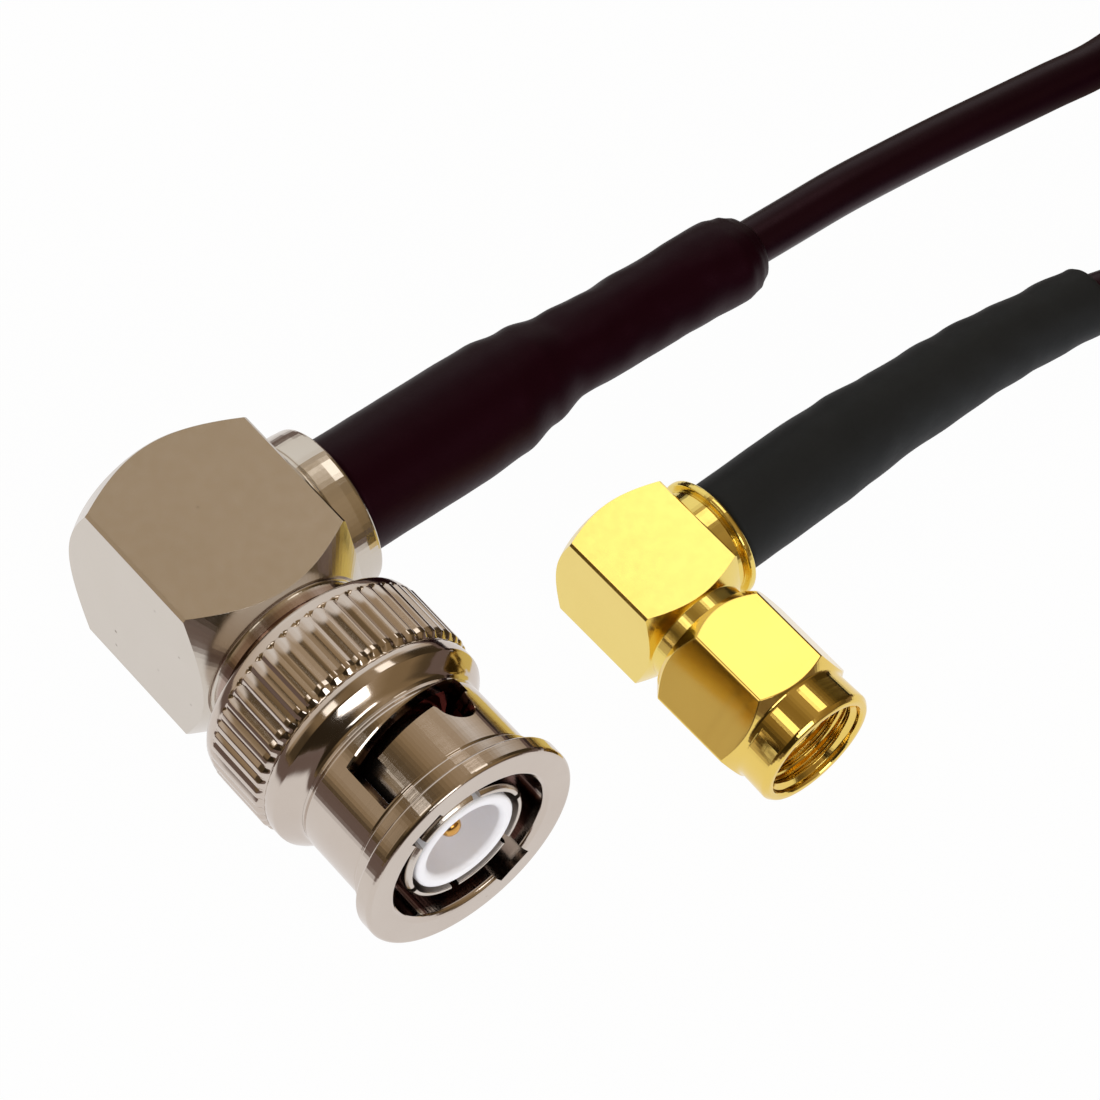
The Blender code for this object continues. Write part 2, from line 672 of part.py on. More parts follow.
sma_slope = (SMA_SIDE / math.sqrt(2) - SMA_FACE_R) / (SMA_FACE_AT - SMA_CONE_AT)
sma_corner_r = SMA_SIDE / math.sqrt(2) + GAP
sma_corner_at = SMA_FACE_AT - (sma_corner_r - SMA_FACE_R) / sma_slope
sma_spigot_bore = SMA_SPIGOT_R + GAP
sma_seat = SMA_SPIGOT_BACK - GAP
sma_cap_seat = SMA_FACE_AT - SMA_CAP_THICK - GAP
sma_turned = [
    (-SMA_FACE_AT, SMA_FACE_R),
    (-sma_corner_at, sma_corner_r),
    (sma_corner_at, sma_corner_r),
    (SMA_FACE_AT, SMA_FACE_R),
    (SMA_FACE_AT, SMA_NECK_R),
    (SMA_NECK_END, SMA_NECK_R),
    (SMA_NECK_END, sma_spigot_bore),
    (sma_seat, sma_spigot_bore),
    (sma_seat, SMA_CHAMBER_R),
    (-sma_cap_seat, SMA_CHAMBER_R),
    (-sma_cap_seat, SMA_CAP_R + GAP),
    (-SMA_FACE_AT, SMA_CAP_R + GAP),
]
sma_body = add("sma_body", turned_mesh(sma_turned, "forward", 28), sma)
sma_square = prism(-2 * SMA_FACE_AT, 2 * SMA_FACE_AT, 4, SMA_SIDE, "forward", math.pi / 4)
sma_bar = tool("sma_bar_tool", sma_square, sma)
sma_edges = sma_bar.modifiers.new("edges", "BEVEL")
sma_edges.width = BNC_EDGE_CHAMFER
sma_edges.segments = 1
boolean(sma_body, sma_bar, "INTERSECT")
# Boss inside the block's side face, then a thin round flange
boss_r = min(SMA_BOSS_R, SMA_SIDE / 2 - BNC_EDGE_CHAMFER / 3)
collar_back = SMA_COLLAR_END - SMA_COLLAR_THICK
sma_collar = [
    (SMA_SIDE / 2 - 0.0008, 0),
    (SMA_SIDE / 2 - 0.0008, boss_r),
    (collar_back, boss_r),
    (collar_back + 0.00005, SMA_COLLAR_R),
    (SMA_COLLAR_END - 0.00015, SMA_COLLAR_R),
    (SMA_COLLAR_END, SMA_COLLAR_R - 0.00015),
    (SMA_COLLAR_END, SMA_STEM_R),
    (SMA_STEM_END, SMA_STEM_R),
    (SMA_STEM_END, 0),
]
boolean(sma_body, tool("sma_collar_tool", turned_mesh(sma_collar, "cable", 28, False), sma), "UNION")
sma_bore = [(0, 0), (0, SMA_STEM_BORE_R), (2 * SMA_STEM_END, SMA_STEM_BORE_R), (2 * SMA_STEM_END, 0)]
boolean(sma_body, tool("sma_bore_tool", turned_mesh(sma_bore, "cable", 16, False), sma), "DIFFERENCE")
gold(sma_body)

sma_cap = [
    (-SMA_FACE_AT, 0),
    (-SMA_FACE_AT, SMA_CAP_R - cap_edge),
    (-SMA_FACE_AT + cap_edge, SMA_CAP_R),
    (-SMA_FACE_AT + SMA_CAP_THICK, SMA_CAP_R),
    (-SMA_FACE_AT + SMA_CAP_THICK, 0),
]
gold(add("sma_rear_cap", turned_mesh(sma_cap, "forward", 24, False), sma))

# Nut: hexagon with both ends turned to a cone, then a round skirt
nut_corner_r = NUT_FLATS / math.sqrt(3) + GAP
nut_back = max(NUT_BACK, SMA_NECK_END + GAP)
nut_wall_front = nut_back + NUT_WALL
sma_journal_clear = SMA_JOURNAL_R + GAP
nut_face_r = min(NUT_FACE_R, NUT_FLATS / 2 - 0.0001)
nut_profile = [
    (nut_back, nut_face_r),
    (NUT_HEX_CONE_BACK + 0.0003, nut_corner_r),
    (NUT_HEX_CONE_FRONT - 0.0003, nut_corner_r),
    (NUT_HEX_END, NUT_SKIRT_R),
    (NUT_FRONT - 0.00025, NUT_SKIRT_R),
    (NUT_FRONT, NUT_SKIRT_R - 0.00025),
    (NUT_FRONT, NUT_BORE_R + 0.0003),
    (NUT_FRONT - 0.0003, NUT_BORE_R),
    (nut_wall_front, NUT_BORE_R),
    (nut_wall_front, sma_journal_clear),
    (nut_back, sma_journal_clear),
]
nut = add("sma_coupling_nut", turned_mesh(nut_profile, "forward", 36), sma)
hexagon = prism(0, 2 * NUT_FRONT, 6, NUT_FLATS)
boolean(nut, tool("sma_hexagon_tool", hexagon, sma), "INTERSECT")
gold(nut)

# Snap ring in the shell's groove in front of the nut's wall, an open ring
snap_back = nut_wall_front + GAP
snap_front = snap_back + SNAP_THICK
groove_bottom = SMA_JOURNAL_R - 0.00035
snap_r = groove_bottom + 0.00025
snap_section = (
    (snap_back, snap_r),
    (snap_back, SNAP_OUTER_R),
    (snap_front, SNAP_OUTER_R),
    (snap_front, snap_r),
)
snap = bmesh.new()
snap_rings = []
for i in range(23):
    angle = math.radians(-80 + 340 * i / 22)
    snap_rings.append([snap.verts.new(around("forward", along, r, angle)) for along, r in snap_section])
for one, two in zip(snap_rings, snap_rings[1:]):
    bridge(snap, one, two)
snap.faces.new(snap_rings[0])
snap.faces.new(snap_rings[-1])
finish(add("sma_snap_ring", snap, sma), (0.55, 0.45, 0.32), 0.35, 1.0)

groove_back = snap_back - CRIMP_GAP
groove_front = snap_front + CRIMP_GAP
sma_shell = [
    (SMA_SPIGOT_BACK, SMA_SPIGOT_R),
    (SMA_NECK_END + GAP, SMA_SPIGOT_R),
    (SMA_NECK_END + GAP, SMA_JOURNAL_R),
    (groove_back, SMA_JOURNAL_R),
    (groove_back, groove_bottom),
    (groove_front, groove_bottom),
    (groove_front, SMA_JOURNAL_R),
    (SMA_SHELL_FRONT - 0.0001, SMA_JOURNAL_R),
    (SMA_SHELL_FRONT, SMA_JOURNAL_R - 0.0001),
    (SMA_SHELL_FRONT, SMA_SHELL_BORE_R),
    (SMA_SPIGOT_BACK, SMA_SHELL_BORE_R),
]
gold(add("sma_shell", turned_mesh(sma_shell, "forward", 20), sma))
sma_gasket_back = groove_front + GAP
sma_gasket = tube_profile(
    sma_gasket_back, sma_gasket_back + SMA_GASKET_LENGTH, NUT_BORE_R - CRIMP_GAP, SMA_JOURNAL_R + CRIMP_GAP
)
silicone(add("sma_gasket", turned_mesh(sma_gasket, "forward", 16), sma))
sma_contact_bore = SMA_CONTACT_R + CRIMP_GAP
sma_insulator = [
    (SMA_SPIGOT_BACK, SMA_SHELL_BORE_R - CRIMP_GAP),
    (SMA_SHELL_FRONT, SMA_SHELL_BORE_R - CRIMP_GAP),
    (SMA_SHELL_FRONT, sma_contact_bore),
    (SMA_SPIGOT_BACK, sma_contact_bore),
]
ptfe(add("sma_insulator", turned_mesh(sma_insulator, "forward", 20), sma))
sma_pin = [
    (-SMA_CONTACT_R, SMA_CONTACT_R),
    (SMA_PIN_TIP - SMA_CONTACT_R, SMA_CONTACT_R),
    (SMA_PIN_TIP - SMA_CONTACT_R * 0.3, SMA_CONTACT_R * 0.75),
    (SMA_PIN_TIP, SMA_CONTACT_R * 0.25),
]
gold(add("sma_center_pin", pin_mesh(sma_pin, 12), sma))
gold(cable_end(
    "sma", sma, SMA_CHAMBER_R, SMA_CONTACT_R, SMA_STEM_R, SMA_STEM_BORE_R, SMA_STEM_END, SMA_COLLAR_END,
    SMA_FERRULE_END,
))

# SMA sleeve: full on the ferrule, drawn in past it and curving down toward the surface
sma_ferrule_r = max(SMA_STEM_R + CRIMP_GAP + BRAID_WALL, CABLE_R) + CRIMP_GAP + FERRULE_WALL
sma_full_bore = max(SMA_SLEEVE_R - SLEEVE_WALL, sma_ferrule_r + CRIMP_GAP)
sma_full = sma_full_bore + SLEEVE_WALL
sma_thin_bore = CABLE_R + GAP
sma_thin = max(SMA_SLEEVE_THIN_R, sma_thin_bore + SLEEVE_WALL * 0.5)
sma_free = SMA_SLEEVE_END - SMA_FERRULE_END


def sma_bend(part):
    """Sideways and downward drift of the sleeve's middle, by its share of the way past the ferrule."""
    return -SMA_SLEEVE_DRIFT * part**2


sma_sleeve = [
    (SMA_COLLAR_END + GAP, 0, 0, sma_full, sma_full_bore),
    (SMA_FERRULE_END, 0, 0, sma_full, sma_full_bore),
]
shrinking = ((0.12, 0.6, 0.0008), (0.35, 0.5, 0.0006), (0.6, 0.28, 0.0004), (0.85, 0.1, 0.0003))
for part, share, bore_slack in shrinking:
    drift = sma_bend(part)
    radius = sma_thin + (sma_full - sma_thin) * share
    sma_sleeve.append((SMA_FERRULE_END + sma_free * part, drift, drift, radius, sma_thin_bore + bore_slack))
drift = sma_bend(1)
sma_sleeve.append((SMA_SLEEVE_END, drift, drift, sma_thin, sma_thin_bore + 0.00015))
jacket(sleeve("sma_heat_shrink", sma_sleeve, sma))

# Coil of cable, a ring with room for two by two turns, resting on its ties
half_bundle = 2 * CABLE_R
coil_z = TABLE + TIE_THICK + GAP + half_bundle
coil = empty("coil_place", (COIL_X, BNC_Y - COIL_AHEAD, coil_z))
ring_profile = []
for i in range(8):
    angle = math.radians(22.5 + 45 * i)
    reach = half_bundle / math.cos(math.radians(22.5))
    ring_profile.append((reach * math.sin(angle), COIL_R + reach * math.cos(angle)))
jacket(add("cable_coil", turned_mesh(ring_profile, "up", 40), coil, 50))
tie_bore = (half_bundle + GAP) / math.cos(math.radians(22.5))
tie_outer = (half_bundle + GAP + TIE_THICK) / math.cos(math.radians(22.5))
tie_profile = [
    (-TIE_WIDTH / 2, tie_outer),
    (TIE_WIDTH / 2, tie_outer),
    (TIE_WIDTH / 2, tie_bore),
    (-TIE_WIDTH / 2, tie_bore),
]
for name, degrees in (("coil_tie_near", 195), ("coil_tie_far", 15)):
    bm = turned_mesh(tie_profile, "forward", 8, True, math.radians(22.5))
    bmesh.ops.translate(bm, verts=bm.verts, vec=(COIL_R, 0, 0))
    tie = add(name, bm, coil)
    tie.rotation_euler = (0, 0, math.radians(degrees))
    finish(tie, (0.03, 0.03, 0.032), 0.5, 0.0)


def coil_stop(x, y, side):
    """Where a straight run from (x, y) to the coil's outermost turn meets the ring."""
    cx = COIL_X - x
    cy = BNC_Y - COIL_AHEAD - y
    away = math.hypot(cx, cy)
    outer_turn = COIL_R + CABLE_R
    heading = math.atan2(cy, cx) + side * math.asin(outer_turn / away)
    ring_reach = COIL_R + half_bundle + GAP
    run = math.sqrt(away**2 - outer_turn**2) - math.sqrt(ring_reach**2 - COIL_R**2)
    return (x + run * math.cos(heading), y + run * math.sin(heading))


# Cable from the BNC ferrule: out of the sleeve, down to the surface and along it to the coil
on_table = TABLE + CABLE_R
leave_x, leave_y = coil_stop(0.0654, BNC_Y, 1)
bnc_route = [
    (BNC_STEM_END + GAP, BNC_Y, 0.0),
    (0.019, BNC_Y, 0.0001),
    (0.024, BNC_Y, 0.0003),
    (0.03, BNC_Y, 0.0001),
    (0.0374, BNC_Y, -0.00025),
    (0.0449, BNC_Y, -0.0006),
    (0.0533, BNC_Y, -0.0018),
    (0.0613, BNC_Y, -0.0033),
    (0.0654, BNC_Y + 0.0001, -0.0042),
    ((0.0654 + leave_x) / 2, (BNC_Y + leave_y) / 2 - 0.0002, -0.0052),
    (leave_x, leave_y, on_table + 0.0001),
]
jacket(cord("cable_bnc_run", smooth_route(bnc_route, 3 * CABLE_R), CABLE_R))

# Cable from the coil to the SMA ferrule
sma_frame = Matrix.Translation(sma.location) @ sma.rotation_euler.to_matrix().to_4x4()
sma_route = [
    sma_frame @ Vector((SMA_STEM_END + GAP, 0, 0)),
    sma_frame @ Vector((SMA_FERRULE_END, 0, 0)),
]
for part in (0.25, 0.5, 0.75, 1.0):
    drift = sma_bend(part)
    sma_route.append(sma_frame @ Vector((SMA_FERRULE_END + sma_free * part, drift, drift)))
turn_in = sma_route[-1] + Vector((SMA_RUN_OUT, -SMA_RUN_ASIDE, -0.0013))
stop_x, stop_y = coil_stop(turn_in.x, turn_in.y, -1)
sma_route += [
    turn_in,
    Vector(((turn_in.x + stop_x) / 2, (turn_in.y + stop_y) / 2, on_table + 0.0002)),
    Vector((stop_x, stop_y, on_table + 0.0001)),
]
jacket(cord("cable_sma_run", smooth_route(sma_route, 3 * CABLE_R), CABLE_R))
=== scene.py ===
# Right-angle BNC to right-angle SMA cable, dressed over its CAD frame
import json
import math
import bmesh
import bpy
from mathutils import Matrix, Vector, noise


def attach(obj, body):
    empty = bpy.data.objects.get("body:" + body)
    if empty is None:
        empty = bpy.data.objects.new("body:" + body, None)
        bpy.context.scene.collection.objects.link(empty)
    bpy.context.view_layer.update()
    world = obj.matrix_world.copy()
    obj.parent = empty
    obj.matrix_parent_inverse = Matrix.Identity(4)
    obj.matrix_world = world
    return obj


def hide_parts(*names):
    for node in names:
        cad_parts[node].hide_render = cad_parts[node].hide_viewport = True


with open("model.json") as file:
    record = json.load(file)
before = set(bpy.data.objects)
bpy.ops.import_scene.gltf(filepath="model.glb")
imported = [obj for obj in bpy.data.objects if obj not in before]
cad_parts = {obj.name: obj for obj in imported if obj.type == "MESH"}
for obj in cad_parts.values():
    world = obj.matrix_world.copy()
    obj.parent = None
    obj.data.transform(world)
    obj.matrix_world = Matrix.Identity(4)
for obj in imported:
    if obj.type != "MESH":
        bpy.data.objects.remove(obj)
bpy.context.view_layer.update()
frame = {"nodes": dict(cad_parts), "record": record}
nodes = frame["nodes"]
scene = bpy.context.scene
print("frame loaded")

# camera: a long lens from the front left, well above
camData = bpy.data.cameras.new("camera")
camData.lens = 212.7
camData.sensor_width = 36
camData.clip_start = 0.02
camData.clip_end = 20
cam = bpy.data.objects.new("camera", camData)
cam.location = (-0.12129, -0.17116, 0.29084)
cam.rotation_euler = [math.radians(a) for a in (35.3801, -1.7754, -38.9198)]
scene.collection.objects.link(cam)
scene.camera = cam

# shared places, as in the part's source
blockY = -0.00625
surface = -0.00725
cableR = 0.0014
cableSides = 24
smaPlace = {"x": 0.0196, "ahead": 0.0135, "yaw": 2.8, "nose": 4.0, "flats": 0.008, "hexEnd": 0.01155}
nose = math.radians(smaPlace["nose"])
smaZ = surface + smaPlace["flats"] / 2 * math.cos(nose) + smaPlace["hexEnd"] * math.sin(nose)
smaFrame = (
    Matrix.Translation((smaPlace["x"], blockY - smaPlace["ahead"], smaZ))
    @ Matrix.Rotation(math.radians(smaPlace["yaw"]), 4, "Z")
    @ Matrix.Rotation(nose, 4, "X")
)
bncFrame = Matrix.Translation((0, blockY, 0))


def smoothRoute(knots, perSpan):
    # smooth curve through the knots
    pts = [Vector(p) for p in knots]
    pts = [2 * pts[0] - pts[1], *pts, 2 * pts[-1] - pts[-2]]
    out = []
    for a, b, c, d in zip(pts, pts[1:], pts[2:], pts[3:]):
        for i in range(perSpan):
            t = i / perSpan
            square, cube = 2 * a - 5 * b + 4 * c - d, 3 * b - a - 3 * c + d
            out.append(0.5 * (2 * b + (c - a) * t + square * t**2 + cube * t**3))
    out.append(pts[-2])
    return out


def evenly(points, step):
    # the same line with its points at an even spacing
    total = sum((b - a).length for a, b in zip(points, points[1:]))
    count = round(total / step)
    out, walked = [points[0]], 0.0
    for a, b in zip(points, points[1:]):
        piece = (b - a).length
        while len(out) < count and walked + piece >= total * len(out) / count:
            out.append(a.lerp(b, (total * len(out) / count - walked) / piece))
        walked += piece
    out.append(points[-1])
    return out, total


def ease(t):
    t = min(1.0, max(0.0, t))
    return t * t * (3 - 2 * t)


# the cable, from inside the BNC sleeve round the coil to inside the SMA sleeve
coil = {"x": 0.089, "ahead": 0.011, "r": 0.015, "tie": 0.00035, "gap": 0.0003, "turns": 3,
        "inwardAt": 285, "upAt": 645, "outwardAt": 1005, "crossing": 55, "step": 15}
coilY = blockY - coil["ahead"]
coilZ = surface + coil["tie"] + coil["gap"] + 2 * cableR
smaSleeveEnd = 0.0333
smaDrift = 0.0012
smaFerrule = 0.0128


def smaDriftAt(part):
    return -smaDrift * part**2


def towardCoil(x, y, side):
    # heading of a line that touches the outermost turn, and where it meets the ring
    cx, cy = coil["x"] - x, coilY - y
    away = math.hypot(cx, cy)
    turnR = coil["r"] + cableR
    heading = math.atan2(cy, cx) + side * math.asin(turnR / away)
    reach = coil["r"] + 2 * cableR + coil["gap"]
    run = math.sqrt(away**2 - turnR**2) - math.sqrt(reach**2 - coil["r"] ** 2)
    return heading, (x + run * math.cos(heading), y + run * math.sin(heading))


onSurface = surface + cableR
headIn, meetIn = towardCoil(0.0654, blockY, 1)
knots = [
    (0.0275, blockY, 0.0002),
    (0.0315, blockY, 0.00005),
    (0.0345, blockY, -0.0001),
    (0.0374, blockY, -0.00025),
    (0.0412, blockY, -0.00042),
    (0.0449, blockY, -0.0006),
    (0.0492, blockY, -0.00115),
    (0.0533, blockY, -0.0018),
    (0.0573, blockY, -0.00255),
    (0.0613, blockY, -0.0033),
    (0.0654, blockY + 0.0001, -0.0042),
    ((0.0654 + meetIn[0]) / 2, (blockY + meetIn[1]) / 2 - 0.0002, -0.0052),
    (meetIn[0], meetIn[1], onSurface + 0.0002),
]
smaEnd = smaFrame @ Vector((smaSleeveEnd, smaDriftAt(1), smaDriftAt(1)))
turnIn = smaEnd + Vector((0.0085, -0.0017, -0.0013))
headOut, meetOut = towardCoil(turnIn.x, turnIn.y, -1)
start, stop = headIn + math.pi / 2, headOut - math.pi / 2
travel = math.degrees(start - stop) % 360 + 360 * coil["turns"]
steps = round(travel / coil["step"])
# the cable crosses to the inner ring, then up a layer, then out again
for i in range(steps + 1):
    gone = travel * i / steps
    crossed = [ease((gone - coil[at]) / coil["crossing"]) for at in ("inwardAt", "upAt", "outwardAt")]
    inward, lift = crossed[0] - crossed[2], crossed[1]
    r = coil["r"] + cableR * (1 - 2 * inward)
    angle = start - math.radians(gone)
    z = coilZ + cableR * (2 * lift - 1)
    knots.append((coil["x"] + r * math.cos(angle), coilY + r * math.sin(angle), z))
knots += [
    (meetOut[0], meetOut[1], onSurface + 0.0014),
    ((turnIn.x + meetOut[0]) / 2, (turnIn.y + meetOut[1]) / 2, onSurface + 0.0006),
    tuple(turnIn),
]
for part in (1.0, 0.88, 0.75, 0.6, 0.45):
    drift = smaDriftAt(part)
    knots.append(tuple(smaFrame @ Vector((smaFerrule + (smaSleeveEnd - smaFerrule) * part, drift, drift))))
line, cableLength = evenly(smoothRoute(knots, 8), 0.0008)

cableMesh = bmesh.new()
rings, side = [], Vector((0, 1, 0))
for i, co in enumerate(line):
    ahead = (line[min(i + 1, len(line) - 1)] - line[max(i - 1, 0)]).normalized()
    side = (side - ahead * side.dot(ahead)).normalized()
    up = ahead.cross(side)
    ring = []
    for k in range(cableSides):
        t = 2 * math.pi * k / cableSides
        ring.append(cableMesh.verts.new(co + (side * math.cos(t) + up * math.sin(t)) * cableR))
    rings.append(ring)
for one, two in zip(rings, rings[1:]):
    for k in range(cableSides):
        m = (k + 1) % cableSides
        cableMesh.faces.new((one[k], one[m], two[m], two[k]))
cableMesh.faces.new(rings[0])
cableMesh.faces.new(rings[-1])
bmesh.ops.recalc_face_normals(cableMesh, faces=cableMesh.faces)
mesh = bpy.data.meshes.new("cable")
cableMesh.to_mesh(mesh)
cableMesh.free()
mesh.shade_smooth()
cable = bpy.data.objects.new("cable", mesh)
scene.collection.objects.link(cable)
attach(cable, "assembly")
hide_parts("cable_bnc_run", "cable_coil", "cable_sma_run")
print("camera and cable made, cable", round(cableLength, 4), "m")


# shader groups
def newGroup(name, inputs, outputs):
    tree = bpy.data.node_groups.new(name, "ShaderNodeTree")
    for kind, label, value in inputs:
        sock = tree.interface.new_socket(label, in_out="INPUT", socket_type=kind)
        if value is not None:
            sock.default_value = value
    for kind, label in outputs:
        tree.interface.new_socket(label, in_out="OUTPUT", socket_type=kind)
    return tree, tree.nodes.new("NodeGroupInput"), tree.nodes.new("NodeGroupOutput")


def addNode(tree, kind, **values):
    # a node with its settings and its unlinked inputs
    node = tree.nodes.new(kind)
    for key, value in values.items():
        if key.startswith("in"):
            node.inputs[key[2:] if not key[2:].isdigit() else int(key[2:])].default_value = value
        else:
            setattr(node, key, value)
    return node


# fine turning or milling lines: noise stretched along two of the three axes
linesGroup, gi, go = newGroup(
    "machiningLines",
    [("NodeSocketVector", "Vector", None), ("NodeSocketVector", "Stretch", (1, 1, 1)),
     ("NodeSocketFloat", "Scale", 1000.0)],
    [("NodeSocketFloat", "Height")],
)
mul = addNode(linesGroup, "ShaderNodeVectorMath", operation="MULTIPLY")
linesGroup.links.new(gi.outputs["Vector"], mul.inputs[0])
linesGroup.links.new(gi.outputs["Stretch"], mul.inputs[1])
nse = addNode(linesGroup, "ShaderNodeTexNoise", inDetail=3.0, inRoughness=0.6)
linesGroup.links.new(mul.outputs[0], nse.inputs["Vector"])
linesGroup.links.new(gi.outputs["Scale"], nse.inputs["Scale"])
linesGroup.links.new(nse.outputs["Fac"], go.inputs["Height"])

# scattered pits and specks
pitsGroup, gi, go = newGroup(
    "pits",
    [("NodeSocketVector", "Vector", None), ("NodeSocketFloat", "Scale", 500.0),
     ("NodeSocketFloat", "Size", 0.1)],
    [("NodeSocketFloat", "Mask")],
)
vor = addNode(pitsGroup, "ShaderNodeTexVoronoi", inRandomness=1.0)
pitsGroup.links.new(gi.outputs["Vector"], vor.inputs["Vector"])
pitsGroup.links.new(gi.outputs["Scale"], vor.inputs["Scale"])
ramp = addNode(pitsGroup, "ShaderNodeMapRange", in3=1.0, in4=0.0)
ramp.interpolation_type = "SMOOTHSTEP"
pitsGroup.links.new(vor.outputs["Distance"], ramp.inputs[0])
ramp.inputs[1].default_value = 0.0
pitsGroup.links.new(gi.outputs["Size"], ramp.inputs[2])
# only some of the cells hold one
pick = addNode(pitsGroup, "ShaderNodeMath", operation="GREATER_THAN", in1=0.72)
sep = addNode(pitsGroup, "ShaderNodeSeparateColor")
pitsGroup.links.new(vor.outputs["Color"], sep.inputs[0])
pitsGroup.links.new(sep.outputs[0], pick.inputs[0])
both = addNode(pitsGroup, "ShaderNodeMath", operation="MULTIPLY")
pitsGroup.links.new(ramp.outputs[0], both.inputs[0])
pitsGroup.links.new(pick.outputs[0], both.inputs[1])
pitsGroup.links.new(both.outputs[0], go.inputs["Mask"])

# mask for painted shade: the bore of a turned part, or what lies deep in it
boreShadeGroup, gi, go = newGroup(
    "boreShade",
    [("NodeSocketVector", "Vector", None), ("NodeSocketFloat", "Radius", 0.005),
     ("NodeSocketFloat", "Soft", 0.0002), ("NodeSocketFloat", "Depth", 0.0),
     ("NodeSocketFloat", "Depth Soft", 0.001)],
    [("NodeSocketFloat", "Mask")],
)
sep = addNode(boreShadeGroup, "ShaderNodeSeparateXYZ")
boreShadeGroup.links.new(gi.outputs["Vector"], sep.inputs[0])
flat = addNode(boreShadeGroup, "ShaderNodeCombineXYZ")
boreShadeGroup.links.new(sep.outputs["X"], flat.inputs["X"])
boreShadeGroup.links.new(sep.outputs["Z"], flat.inputs["Z"])
size = addNode(boreShadeGroup, "ShaderNodeVectorMath", operation="LENGTH")
boreShadeGroup.links.new(flat.outputs[0], size.inputs[0])
over = addNode(boreShadeGroup, "ShaderNodeMath", operation="SUBTRACT")
boreShadeGroup.links.new(gi.outputs["Radius"], over.inputs[0])
boreShadeGroup.links.new(size.outputs["Value"], over.inputs[1])
soft = addNode(boreShadeGroup, "ShaderNodeMath", operation="DIVIDE", use_clamp=True)
boreShadeGroup.links.new(over.outputs[0], soft.inputs[0])
boreShadeGroup.links.new(gi.outputs["Soft"], soft.inputs[1])
deep = addNode(boreShadeGroup, "ShaderNodeMath", operation="SUBTRACT")
boreShadeGroup.links.new(sep.outputs["Y"], deep.inputs[0])
boreShadeGroup.links.new(gi.outputs["Depth"], deep.inputs[1])
deepSoft = addNode(boreShadeGroup, "ShaderNodeMath", operation="DIVIDE", use_clamp=True)
boreShadeGroup.links.new(deep.outputs[0], deepSoft.inputs[0])
boreShadeGroup.links.new(gi.outputs["Depth Soft"], deepSoft.inputs[1])
both = addNode(boreShadeGroup, "ShaderNodeMath", operation="MULTIPLY")
boreShadeGroup.links.new(soft.outputs[0], both.inputs[0])
boreShadeGroup.links.new(deepSoft.outputs[0], both.inputs[1])
boreShadeGroup.links.new(both.outputs[0], go.inputs["Mask"])

# slow change between two colours
toneGroup, gi, go = newGroup(
    "toneChange",
    [("NodeSocketVector", "Vector", None), ("NodeSocketFloat", "Scale", 200.0),
     ("NodeSocketColor", "Light", (1, 1, 1, 1)), ("NodeSocketColor", "Dark", (0.5, 0.5, 0.5, 1))],
    [("NodeSocketColor", "Color"), ("NodeSocketFloat", "Fac")],
)
nse = addNode(toneGroup, "ShaderNodeTexNoise", inDetail=4.0, inRoughness=0.55)
toneGroup.links.new(gi.outputs["Vector"], nse.inputs["Vector"])
toneGroup.links.new(gi.outputs["Scale"], nse.inputs["Scale"])
mix = addNode(toneGroup, "ShaderNodeMix", data_type="RGBA")
toneGroup.links.new(nse.outputs["Fac"], mix.inputs["Factor"])
toneGroup.links.new(gi.outputs["Light"], mix.inputs["A"])
toneGroup.links.new(gi.outputs["Dark"], mix.inputs["B"])
toneGroup.links.new(mix.outputs["Result"], go.inputs["Color"])
toneGroup.links.new(nse.outputs["Fac"], go.inputs["Fac"])


def useGroup(tree, group, vector, **values):
    node = tree.nodes.new("ShaderNodeGroup")
    node.node_tree = group
    for key, value in values.items():
        node.inputs[key].default_value = value
    tree.links.new(vector, node.inputs["Vector"])
    return node


def rgba(c):
    return (c[0], c[1], c[2], 1.0)


def newFinish(name, look):
    # a material with its shader, its object coordinates and its slow change of tone
    mat = bpy.data.materials.new(name)
    mat.use_nodes = True
    tree = mat.node_tree
    coord = tree.nodes.new("ShaderNodeTexCoord").outputs["Object"]
    tones = {"Scale": look["toneScale"], "Light": rgba(look["light"]), "Dark": rgba(look["dark"])}
    return mat, tree, tree.nodes["Principled BSDF"], coord, useGroup(tree, toneGroup, coord, **tones)


def roughAndBump(tree, bsdf, look, lines, height):
    rough = addNode(tree, "ShaderNodeMapRange")
    rough.inputs["To Min"].default_value = look["rough"] - look["roughSpread"]
    rough.inputs["To Max"].default_value = look["rough"] + look["roughSpread"]
    tree.links.new(lines, rough.inputs["Value"])
    tree.links.new(rough.outputs["Result"], bsdf.inputs["Roughness"])
    bump = addNode(tree, "ShaderNodeBump", inStrength=look["bump"], inDistance=look["depth"])
    tree.links.new(height, bump.inputs["Height"])
    tree.links.new(bump.outputs["Normal"], bsdf.inputs["Normal"])


